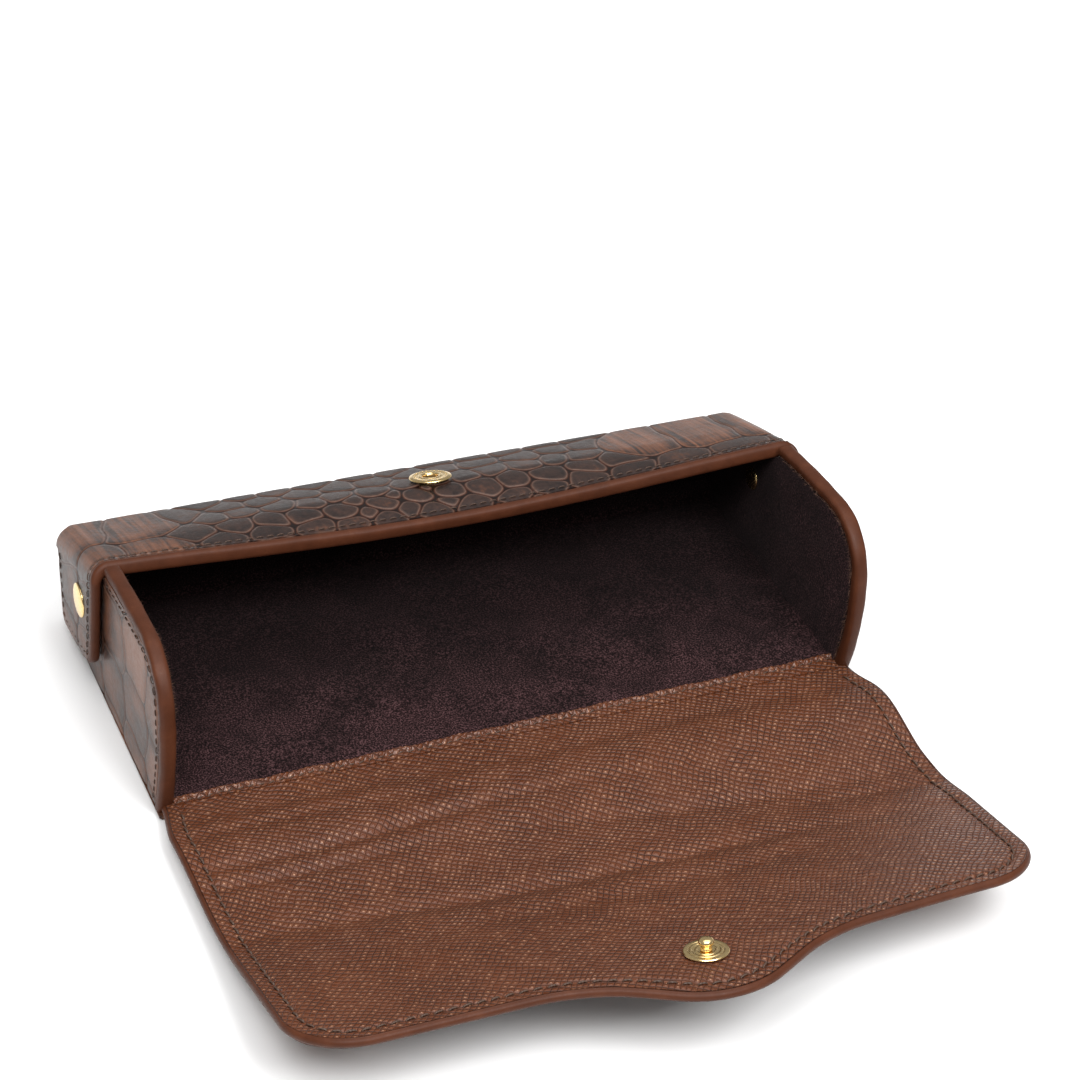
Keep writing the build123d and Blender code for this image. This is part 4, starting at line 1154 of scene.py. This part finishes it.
def flap_line():
    """A fine table of the flap's middle line: distance, y, z and slope, with the bends spread out."""
    s = np.arange(-8, FLAP_TIP + 3, LINE_STEP)
    knots = [-10, -2.5] + STRIP_MIDDLES + [FLAP_TIP + 4]
    slopes = [0.0, 0.0] + STRIP_ANGLES + [STRIP_ANGLES[-1]]
    angle = np.interp(s, knots, slopes)
    y = FLAP_JOINTS[0][0] - np.cumsum(np.cos(angle)) * LINE_STEP
    z = np.cumsum(np.sin(angle)) * LINE_STEP
    anchor = np.interp(STRIP_MIDDLES[3], s, y), np.interp(STRIP_MIDDLES[3], s, z)
    target = (FLAP_JOINTS[3] + FLAP_JOINTS[4]) / 2
    return s, y + target[0] - anchor[0], z + target[1] - anchor[1], angle


FLAP_S, FLAP_Y, FLAP_Z, FLAP_ANGLE = flap_line()


CREASES = (                 # place and lean of the line, depth, width, and its middle and reach across
    (14.5, 0.012, 0.55, 2.4, -60, 45),
    (24.0, -0.020, 1.00, 1.9, -45, 44),
    (31.0, 0.030, 0.80, 1.6, -60, 26),
    (53.0, 0.040, 1.25, 2.8, -5, 70),
    (37.0, 0.045, 0.90, 2.6, 40, 45),
    (64.0, -0.020, 0.65, 3.5, 10, 60),
    (44.0, 0.100, 0.80, 2.2, 62, 22),
    (8.0, 0.000, 0.40, 2.4, 0, 200),
)


def creases(x, s):
    """Soft hollows of the flap's liner, as a height in millimetres."""
    height = np.zeros_like(s)
    for place, lean, depth, width, middle, reach in CREASES:
        line = place + lean * (x - middle) + 1.1 * np.sin(x * 0.06 + place)
        height = height - depth * np.exp(-(((s - line) / width) ** 2) - ((x - middle) / reach) ** 2)
    return height


def droop(x, s):
    """How far the flap hangs under its own line: towards its right side, and beyond the stud."""
    right = np.clip((np.asarray(x, float) + 30) / 114, 0, None) ** 1.6
    along = 3.0 * smoothstep(14, 34, s) - 1.6 * smoothstep(40, 56, s)
    tip = 1.5 * smoothstep(FLAP_FRONT + 1, FLAP_TIP + 2, s)
    return right * along + tip


def flap_point(x, s, depth):
    """A point of the flap, `depth` under the liner's face."""
    y = np.interp(s, FLAP_S, FLAP_Y)
    z = np.interp(s, FLAP_S, FLAP_Z) - droop(x, s)
    angle = np.interp(s, FLAP_S, FLAP_ANGLE)
    narrow = 1 - HINGE_TAPER * (1 - smoothstep(-2, 13, s))
    right = smoothstep(10, FLAP_HALF_WIDTH, x) * smoothstep(40, 100, s)
    y = y - depth * np.sin(angle) + CORNER_BACK * right
    return np.stack([x * narrow - CORNER_IN * right, y, z - depth * np.cos(angle)], -1)


def flap_normal(s):
    """Directions out of the flap's inner face."""
    angle = np.interp(s, FLAP_S, FLAP_ANGLE)
    return np.stack([np.zeros_like(angle), np.sin(angle), np.cos(angle)], -1)


def tongue_end(x, inset):
    """How far the flap reaches at x, for an outline moved in by inset."""
    x = np.abs(np.asarray(x, float))
    tip_radius = TONGUE_RADIUS - inset
    hollow = TONGUE_HOLLOW + inset
    tip_centre = FLAP_TIP - TONGUE_RADIUS
    tip_x = tip_radius * math.sin(TONGUE_FLANK)
    tip_s = tip_centre + tip_radius * math.cos(TONGUE_FLANK)
    front = FLAP_FRONT - inset
    hollow_s = front + hollow * (1 - math.cos(TONGUE_FLANK))
    hollow_x = tip_x + (tip_s - hollow_s) / math.tan(TONGUE_FLANK)
    hollow_end = hollow_x + hollow * math.sin(TONGUE_FLANK)
    corner = FLAP_CORNER - inset
    corner_x = FLAP_HALF_WIDTH - FLAP_CORNER
    end = np.full_like(x, front)
    hollow_part = (x < hollow_end) & (x >= hollow_x)
    end[hollow_part] = front + hollow - np.sqrt(hollow**2 - (hollow_end - x[hollow_part]) ** 2)
    flank_part = (x < hollow_x) & (x >= tip_x)
    end[flank_part] = tip_s - (x[flank_part] - tip_x) * math.tan(TONGUE_FLANK)
    tip_part = x < tip_x
    end[tip_part] = tip_centre + np.sqrt(tip_radius**2 - x[tip_part] ** 2)
    corner_part = x > corner_x
    inside = np.clip(corner**2 - (x[corner_part] - corner_x) ** 2, 0, None)
    end[corner_part] = FLAP_FRONT - FLAP_CORNER + np.sqrt(inside)
    return end


TONGUE_ROWS = 64
ROW_STEP = 0.55
EDGE_RINGS = 7              # steps round the flap's turned edge
SEAM_DEPTH = 0.42           # the stitches pull the flap's faces in by this much
PLAIN_GROOVE = 5.0          # mask values that mean plain brown hide, away from any groove
PLAIN_BROWN = 0.9
CREASE_AT_SEAM = 0.6        # the stitches rise and fall with the creases by this share


def flap_columns(inset, count=250):
    """Places across the flap, closer together round its front corners."""
    half = FLAP_HALF_WIDTH - inset
    corner = FLAP_CORNER - inset
    middle = np.linspace(-(half - corner), half - corner, count)
    arc = half - corner + corner * np.sin(np.linspace(0, math.pi / 2, 22)[1:])
    return np.concatenate([-arc[::-1], middle, arc])


def flap_faces_grid(x, start, end):
    """Top and bottom points of one length of the flap, their place on the flat sheet, and its masks."""
    is_last = end is None
    far = tongue_end(x, EDGE_ROUND) if is_last else np.full(len(x), end)
    rows = TONGUE_ROWS if is_last else max(6, int((end - start) / ROW_STEP))
    s = start + (far - start)[None] * np.linspace(0, 1, rows)[:, None]
    xx = np.broadcast_to(x[None], s.shape)
    edge, brown, chance = scales(xx, s, FLAP_SEEDS)
    inner_share = smoothstep(0, 3, FLAP_HALF_WIDTH - np.abs(xx))
    if is_last:
        inner_share = inner_share * smoothstep(0, 3, tongue_end(xx.ravel(), 0).reshape(s.shape) - s)
    groove = -SEAM_DEPTH * np.exp(-((seam_distance(xx, s) / 0.60) ** 2))
    top = flap_point(xx, s, -(creases(xx, s) * inner_share + groove))
    relief = scale_height(edge) * inner_share
    thickness = EDGE_THICKNESS + (FLAP_THICKNESS - EDGE_THICKNESS) * inner_share
    bottom = flap_point(xx, s, thickness + relief + groove)
    masks = {"groove": edge, "brown": brown, "chance": chance}
    return top, bottom, np.stack([xx.ravel(), s.ravel()], 1), masks


def free_edges(rows, columns, is_last):
    """The grid's free edges as rows of point numbers: one on each side, or one all round the tongue."""
    left = [row * columns for row in range(rows)]
    right = [row * columns + columns - 1 for row in range(rows - 1, -1, -1)]
    if not is_last:
        return [left, right]
    front = [(rows - 1) * columns + column for column in range(1, columns)]
    return [left + front + right[1:]]


def outward_from(line, chain_is_left, is_last):
    """Directions out of the sheet, on the flat, along one free edge."""
    if is_last:
        tangent = np.gradient(line, axis=0)
        tangent[0] = (0, 1)
        tangent[-1] = (0, -1)
        tangent /= np.linalg.norm(tangent, axis=1)[:, None]
    else:
        tangent = np.tile([0.0, 1.0 if chain_is_left else -1.0], (len(line), 1))
    return np.stack([-tangent[:, 1], tangent[:, 0]], 1)


def build_flap_segment(index, start, end):
    """One length of the flap, closed by a turned edge; the last one, with no end, has the tongue."""
    is_last = end is None
    top, bottom, flat, masks = flap_faces_grid(flap_columns(EDGE_ROUND), start, end)
    rows, columns = top.shape[:2]
    count = rows * columns
    points = [top.reshape(-1, 3), bottom.reshape(-1, 3)]
    places = [flat, flat]
    masks = {key: [np.tile(values.ravel(), 2)] for key, values in masks.items()}
    faces = grid_faces(rows, columns, 0, flip=True) + grid_faces(rows, columns, count)
    cells = (rows - 1) * (columns - 1)
    kinds = [0] * cells + [1] * cells
    next_point = 2 * count
    for chain in free_edges(rows, columns, is_last):
        line = flat[chain]
        outward = outward_from(line, chain[0] == 0, is_last)
        rings = [chain]
        for turn in np.linspace(math.pi / 2, -math.pi / 2, EDGE_RINGS + 2)[1:-1]:
            spot = line + outward * EDGE_ROUND * math.cos(turn)
            depth = np.full(len(spot), EDGE_THICKNESS / 2 * (1 - math.sin(turn)))
            points.append(flap_point(spot[:, 0], spot[:, 1], depth))
            places.append(spot)
            for key in masks:
                masks[key].append(np.full(len(spot), PLAIN_GROOVE if key == "groove" else PLAIN_BROWN))
            rings.append(list(range(next_point, next_point + len(chain))))
            next_point += len(chain)
        rings.append([k + count for k in chain])
        for upper, lower in zip(rings, rings[1:]):
            for k in range(len(chain) - 1):
                faces.append((upper[k], upper[k + 1], lower[k + 1], lower[k]))
                kinds.append(2)
    masks = {key: np.concatenate(values) for key, values in masks.items()}
    piece = make_piece(f"flap_skin_{index}", np.concatenate(points), faces, LIZARD, masks)
    piece.data.materials.append(CROC)
    piece.data.materials.append(SMOOTH)
    piece.data.polygons.foreach_set("material_index", kinds)
    grain_map(piece, np.concatenate(places))
    return piece


def seam_distance(x, s):
    """Distance from the flap's stitch line, which runs inside its edge."""
    side = np.abs(FLAP_HALF_WIDTH - SEAM_INSET - np.abs(x))
    front = np.abs(tongue_end(np.asarray(x).ravel(), SEAM_INSET).reshape(np.shape(x)) - s)
    slope = np.abs(np.gradient(tongue_end(np.linspace(-80, 80, 641), SEAM_INSET), 0.25))
    lean = np.interp(np.asarray(x).ravel(), np.linspace(-80, 80, 641), slope).reshape(np.shape(x))
    front = front / np.sqrt(1 + np.minimum(lean, 3) ** 2)
    past_corner = s > FLAP_FRONT - FLAP_CORNER
    in_corner = past_corner & (np.abs(x) > FLAP_HALF_WIDTH - FLAP_CORNER)
    to_centre = np.hypot(np.abs(x) - (FLAP_HALF_WIDTH - FLAP_CORNER), s - (FLAP_FRONT - FLAP_CORNER))
    corner = np.abs(to_centre - (FLAP_CORNER - SEAM_INSET))
    return np.where(in_corner, corner, np.where(past_corner, front, side))


FLAP_SEEDS = flap_seeds()


FLAP_STARTS = [FLAP_START] + STRIP_MIDDLES


def bend(piece):
    """The piece's placement is baked into its mesh."""
    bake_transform(piece)


def build_flap():
    """The flap in eight lengths, each lying over one joint, and a rigid last one with the tongue, riding on
    flap_8.
    """
    for index in range(8):
        number = index + 1
        piece = build_flap_segment(number, FLAP_STARTS[index], FLAP_STARTS[index + 1])
        bend(piece)
        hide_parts(f"flap_liner_{number}", f"flap_board_{number}", f"flap_cover_{number}")
    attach(build_flap_segment(9, FLAP_STARTS[8], None), "flap_8")
    build_flap_stitches()


def build_flap_stitches():
    """Stitches round the flap, on both faces, in one piece for each length of the flap."""
    inset_half = FLAP_HALF_WIDTH - SEAM_INSET
    sides = np.linspace(3.0, FLAP_FRONT - FLAP_CORNER, 160)
    x_front = flap_columns(SEAM_INSET, 300)
    line = [(-inset_half, s) for s in sides]
    line += list(zip(x_front, tongue_end(x_front, SEAM_INSET)))
    line += [(inset_half, s) for s in sides[::-1]]
    x, s = np.array(line).T
    wave = creases(x, s)[:, None] * CREASE_AT_SEAM
    edges_y = flap_point(np.zeros(8), np.array(FLAP_STARTS[1:]), np.zeros(8))[:, 1]
    faces = (("in", 0.12, 1, wave), ("out", FLAP_THICKNESS - 0.10, -1, 0.0))
    for face, depth, sign, rise in faces:
        normals = flap_normal(s)
        path = flap_point(x, s, np.full(len(s), depth)) + normals * rise
        sizes = {"pitch": 2.9, "length": 2.1, "radius": 0.27, "rise": 0.05, "slant": 0.20}
        groups = {}
        for stitch in stitch_meshes(path, normals * sign, **sizes):
            group = int((stitch[2][1] < edges_y).sum())
            groups.setdefault(group, []).append(stitch)
        for group, members in sorted(groups.items()):
            piece = join_stitches(f"flap_thread_{face}_{group + 1}", members)
            if group < 8:
                bend(piece)
            else:
                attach(piece, "flap_8")


# ---- Hinge band --------------------------------------------------------------------------------------
def build_hinge_band():
    """The liner turned in over the suede, along the front of the floor, with a crimped sewn edge."""
    half = INNER_X - 0.15
    x = np.linspace(-half, half, 620)
    rear = 2.1 + 1.3 * x / 75 + 0.16 * np.sin(x * 0.35) + 0.12 * np.sin(x * 0.9 + 1.0)
    front = box_mm("hinge_tab")[0][1] - 0.2
    turn = np.linspace(0.15, math.pi / 2, 7)
    share = np.concatenate([np.linspace(0, 0.9, 18), 0.9 + 0.1 * np.sin(turn)])[:, None]
    rise = np.concatenate([np.full(18, 1.0), np.cos(turn)])[:, None]
    yy = front + share * (rear - front)[None]
    behind = rear[None] - yy
    rope = np.exp(-(((behind - 0.75) / 0.6) ** 2))
    crimp = np.abs(np.sin(math.pi * (x[None] + 0.5 * behind) / 1.55))
    dip = np.exp(-(((behind - 1.65) / 0.35) ** 2))
    zz = PANEL + rise * (0.62 + rope * (0.25 + 0.38 * crimp) - 0.28 * dip)
    xx = np.broadcast_to(x[None], yy.shape)
    outer = np.stack([xx, yy, zz], 2)
    inner = np.stack([xx, yy, np.full(yy.shape, PANEL + 0.02)], 2)
    piece = shell("hinge_band", outer, inner, LIZARD)
    grain_map(piece, np.tile(np.stack([xx.ravel(), -yy.ravel()], 1), (2, 1)))
    dress(piece, "case", "lizard_leather", "hinge_tab")
    path = np.stack([x, rear - 1.65, np.full(len(x), PANEL + 0.42)], 1)
    normals = np.tile([0.0, 0.0, 1.0], (len(x), 1))
    threads = stitch_meshes(path, normals, pitch=2.3, length=1.8, radius=0.2, slant=0.25)
    join_stitches("hinge_thread", threads, "case")


# ---- Stitches of the case ----------------------------------------------------------------------------
def build_case_stitches():
    """Rows beside the lip, round both ears and beside both end panels' turned edges."""
    x = np.linspace(-FOLD_X, FOLD_X, 400)
    y, z = on_top(LIP_SEAM, 0.06)
    lip_path = np.stack([x, np.full(len(x), y), z - lip_sag(x, LIP_SEAM)], 1)
    lip_normals = np.tile([0.0, *TOP_NORMAL], (len(x), 1))
    join_stitches("lip_thread", stitch_meshes(lip_path, lip_normals, slant=SLANT), "case")
    turn = np.linspace(0, math.pi / 2, 14)
    around = FOLD_RADIUS + 0.05
    fold_yz = np.array([on_top(LIP_SEAM, around * math.cos(angle) - FOLD_RADIUS) for angle in turn])
    front_share = (LIP_SEAM - LIP_BINDING_DEPTH) / 24
    down = np.linspace(0, 1, 60)
    front = ear_point(np.full(60, front_share), down * 0.93)
    bottom = ear_point(np.linspace(front_share + 0.06, 0.84, 40), np.full(40, 0.905))
    back = ear_point(np.full(60, 0.90), (down * 0.86)[::-1])
    ear_yz = np.concatenate([front[1:], bottom, back])
    curve_yz, _ = front_curve(BINDING_DEPTH + 1.4)
    for side, hand in ((-1, "left"), (1, "right")):
        fold = in_plane(side * (FOLD_X + around * np.sin(turn)), fold_yz)
        fold_normals = in_plane(side * np.sin(turn), TOP_NORMAL * np.cos(turn)[:, None])
        ear = in_plane(side * (EAR_OUTER_X + 0.04), ear_yz)
        path = np.concatenate([fold, ear])
        normals = np.concatenate([fold_normals, np.tile([float(side), 0, 0], (len(ear), 1))])
        join_stitches(f"ear_thread_{hand}", stitch_meshes(path, normals, slant=SLANT), "case")
        path = in_plane(side * (HALF_LENGTH + 0.02), curve_yz)
        normals = np.tile([float(side), 0, 0], (len(path), 1))
        join_stitches(f"end_thread_{hand}", stitch_meshes(path, normals, slant=SLANT), "case")


# ---- Metal fittings ----------------------------------------------------------------------------------
BEAD_SIDES = 8
BEAD_LEVELS = ((1.0, 0.0), (0.8, 0.55), (0.35, 0.9))   # radius and height of each ring of a bead


def ring_of_beads(name, centre, axis, radius, height, bead, count, body):
    """A ring of small raised beads on a metal face."""
    points, faces = [], []
    first = np.array([1.0, 0, 0])
    second = np.cross(axis, first)
    around = np.linspace(0, 2 * math.pi, BEAD_SIDES, endpoint=False)
    circle = np.cos(around)[:, None] * first + np.sin(around)[:, None] * second
    for index in range(count):
        angle = 2 * math.pi * index / count
        middle = centre + radius * (math.cos(angle) * first + math.sin(angle) * second) + height * axis
        start = index * BEAD_SIDES * len(BEAD_LEVELS)
        for share, lift in BEAD_LEVELS:
            points.append(middle + bead * share * circle + bead * lift * axis)
        for face in tube_faces(len(BEAD_LEVELS), BEAD_SIDES):
            faces.append(tuple(start + k for k in face))
    dress(make_piece(name, np.concatenate(points), faces, GOLD), body, "gold_metal")


# Turned profiles as (radius, height) in millimetres, heights over the leather's face.
SOCKET_PROFILE = [
    (2.35, -1.5), (2.0, -1.4), (1.85, 0.9), (2.1, 1.22), (2.6, 1.24), (2.75, 1.12), (3.2, 1.12), (4.2, 1.20),
    (4.9, 0.98), (5.0, 0.72), (4.6, 0.55), (3.4, 0.5), (3.3, -0.3), (2.6, -0.35), (2.6, -1.8), (2.35, -1.85),
]
STUD_DISC_PROFILE = [
    (0.95, -0.05), (4.55, -0.05), (4.72, 0.16), (4.55, 0.42), (3.75, 0.46), (3.62, 0.36), (3.40, 0.36),
    (3.28, 0.50), (2.95, 0.50), (2.8, 0.34), (2.35, 0.30), (2.2, 0.46), (1.9, 0.50), (1.7, 0.30),
    (0.95, 0.26),
]
STUD_POST_PROFILE = [
    (0.85, -1.6), (0.88, 0.3), (1.25, 0.45), (1.12, 0.9), (1.15, 1.5), (1.55, 1.78), (1.64, 2.15), (1.5, 2.6),
    (1.05, 2.92), (0.5, 3.0), (0.02, 3.0),
]
POST_INNER_END = 80.3       # the rivet's post and tube, as distances from the case's middle
TUBE_OUTER_END = 84.6
RIVET_PROFILE = [(1.15, POST_INNER_END)] + [(radius, EAR_OUTER_X + height) for radius, height in (
    (1.15, -0.1), (3.9, -0.1), (4.0, 0.18), (3.85, 0.42), (3.2, 0.6), (2.2, 0.74), (1.1, 0.8), (0.02, 0.8),
)]
INNER_RIVET_PROFILE = [(1.25, TUBE_OUTER_END), (1.55, TUBE_OUTER_END)] + [
    (radius, INNER_X - height) for radius, height in (
        (1.55, 0.0), (2.85, 0.0), (2.9, 0.25), (2.5, 0.55), (1.3, 0.76), (0.02, 0.8),
    )
]


def turned(name, profile, radius, centre, axis, body, *nodes):
    """A lathed gilt fitting with softened edges."""
    piece = lathe(name, rounded_profile(profile, radius), centre, axis, GOLD)
    dress(piece, body, "gold_metal", *nodes)


def build_metal():
    """Socket, stud and rivets."""
    up = np.array([0, *TOP_NORMAL])
    centre = np.array([0, *on_top(SOCKET_FROM_LIP, 0)])
    turned("socket", SOCKET_PROFILE, 0.12, centre, up, "case", "snap_socket")
    ring_of_beads("socket_beads", centre, up, 3.75, 1.12, 0.16, 26, "case")
    up = np.array([0, math.sin(TAB_ANGLE), math.cos(TAB_ANGLE)])
    centre = np.array([0, *FLAP_JOINTS[7] + STUD_ALONG * TAB_ALONG])
    turned("stud_disc", STUD_DISC_PROFILE, 0.1, centre, up, "flap_8", "stud_base")
    turned("stud_post", STUD_POST_PROFILE, 0.16, centre, up, "flap_8", "snap_stud")
    centre = np.array([0, *RIVET_CENTRE])
    for side, hand in ((-1, "left"), (1, "right")):
        caps = ("rivet_caps",) if side < 0 else ()
        tubes = ("rivet_tubes",) if side < 0 else ()
        turned(f"rivet_{hand}", RIVET_PROFILE, 0.12, centre, (side, 0, 0), "case", *caps)
        turned(f"rivet_inner_{hand}", INNER_RIVET_PROFILE, 0.1, centre, (side, 0, 0), "case", *tubes)


# ---- CAD nodes that stay, with better materials --------------------------------------------------------
def dress_cad_nodes():
    """Boards and small metal parts keep their CAD shapes."""
    looks = {
        BOARD: ["bottom_board", "back_board", "end_board_left", "end_board_right"],
        GOLD: ["socket_spring", "socket_washer", "stud_washer"],
    }
    for material, nodes in looks.items():
        for node in nodes:
            mesh = frame["nodes"][node].data
            mesh.materials.clear()
            mesh.materials.append(material)


# ---- Stage: floor, lights and camera -------------------------------------------------------------------
def build_stage():
    """A pale floor, an even sky and three soft lamps."""
    floor_material, _, shader = new_material("floor", 0.9, 0.2)
    shader.inputs["Base Color"].default_value = (0.86, 0.86, 0.86, 1)
    mesh = bpy.data.meshes.new("floor")
    reach = 3.0
    corners = [(-reach, -reach, 0), (reach, -reach, 0), (reach, reach, 0), (-reach, reach, 0)]
    mesh.from_pydata(corners, [], [(0, 1, 2, 3)])
    mesh.materials.append(floor_material)
    floor = bpy.data.objects.new("floor", mesh)
    floor.location.z = -0.2 * MM
    bpy.context.scene.collection.objects.link(floor)

    world = bpy.data.worlds.new("studio")
    world.use_nodes = True
    world.node_tree.nodes["Background"].inputs["Color"].default_value = (1.0, 1.0, 1.0, 1)
    world.node_tree.nodes["Background"].inputs["Strength"].default_value = 0.36
    bpy.context.scene.world = world

    for name, place, aim, size, power in (
        ("key", (-0.35, -0.45, 0.80), (0, -0.02, 0.02), 0.35, 5.5),
        ("top", (0.10, 0.10, 0.95), (0, 0.02, 0.02), 0.9, 6.0),
        ("front", (0.15, -0.62, 0.80), (0, -0.06, 0.01), 0.4, 8.0),
    ):
        light = bpy.data.lights.new(name, "AREA")
        light.shape = "SQUARE"
        light.size = size
        light.energy = power
        lamp = bpy.data.objects.new(name, light)
        lamp.location = place
        lamp.rotation_euler = (Vector(aim) - Vector(place)).to_track_quat("-Z", "Y").to_euler()
        bpy.context.scene.collection.objects.link(lamp)


def build_camera():
    """The reference view: from the left, above and in front."""
    camera = bpy.data.cameras.new("camera")
    camera.sensor_width = 36.0
    camera.lens = 103.65
    camera.clip_start = 0.01
    camera.dof.use_dof = False
    holder = bpy.data.objects.new("camera", camera)
    place = Vector((-0.22724, -0.48626, 0.44240))
    forward = Vector((0.34549, 0.73423, -0.58441)).normalized()
    up = Vector((0.17022, 0.56340, 0.80846))
    right = forward.cross(up).normalized()
    up = right.cross(forward)
    turn = Matrix((right, up, -forward)).transposed().to_4x4()
    holder.matrix_world = Matrix.Translation(place) @ turn
    bpy.context.scene.collection.objects.link(holder)
    bpy.context.scene.camera = holder


dress_cad_nodes()
build_top_leather()
build_back_leather()
build_end_bindings()
build_lip_binding()
build_end_covers()
build_linings()
build_fringe()
build_flap()
build_hinge_band()
build_case_stitches()
build_metal()
build_stage()
build_camera()
bpy.context.scene.view_settings.view_transform = "Standard"
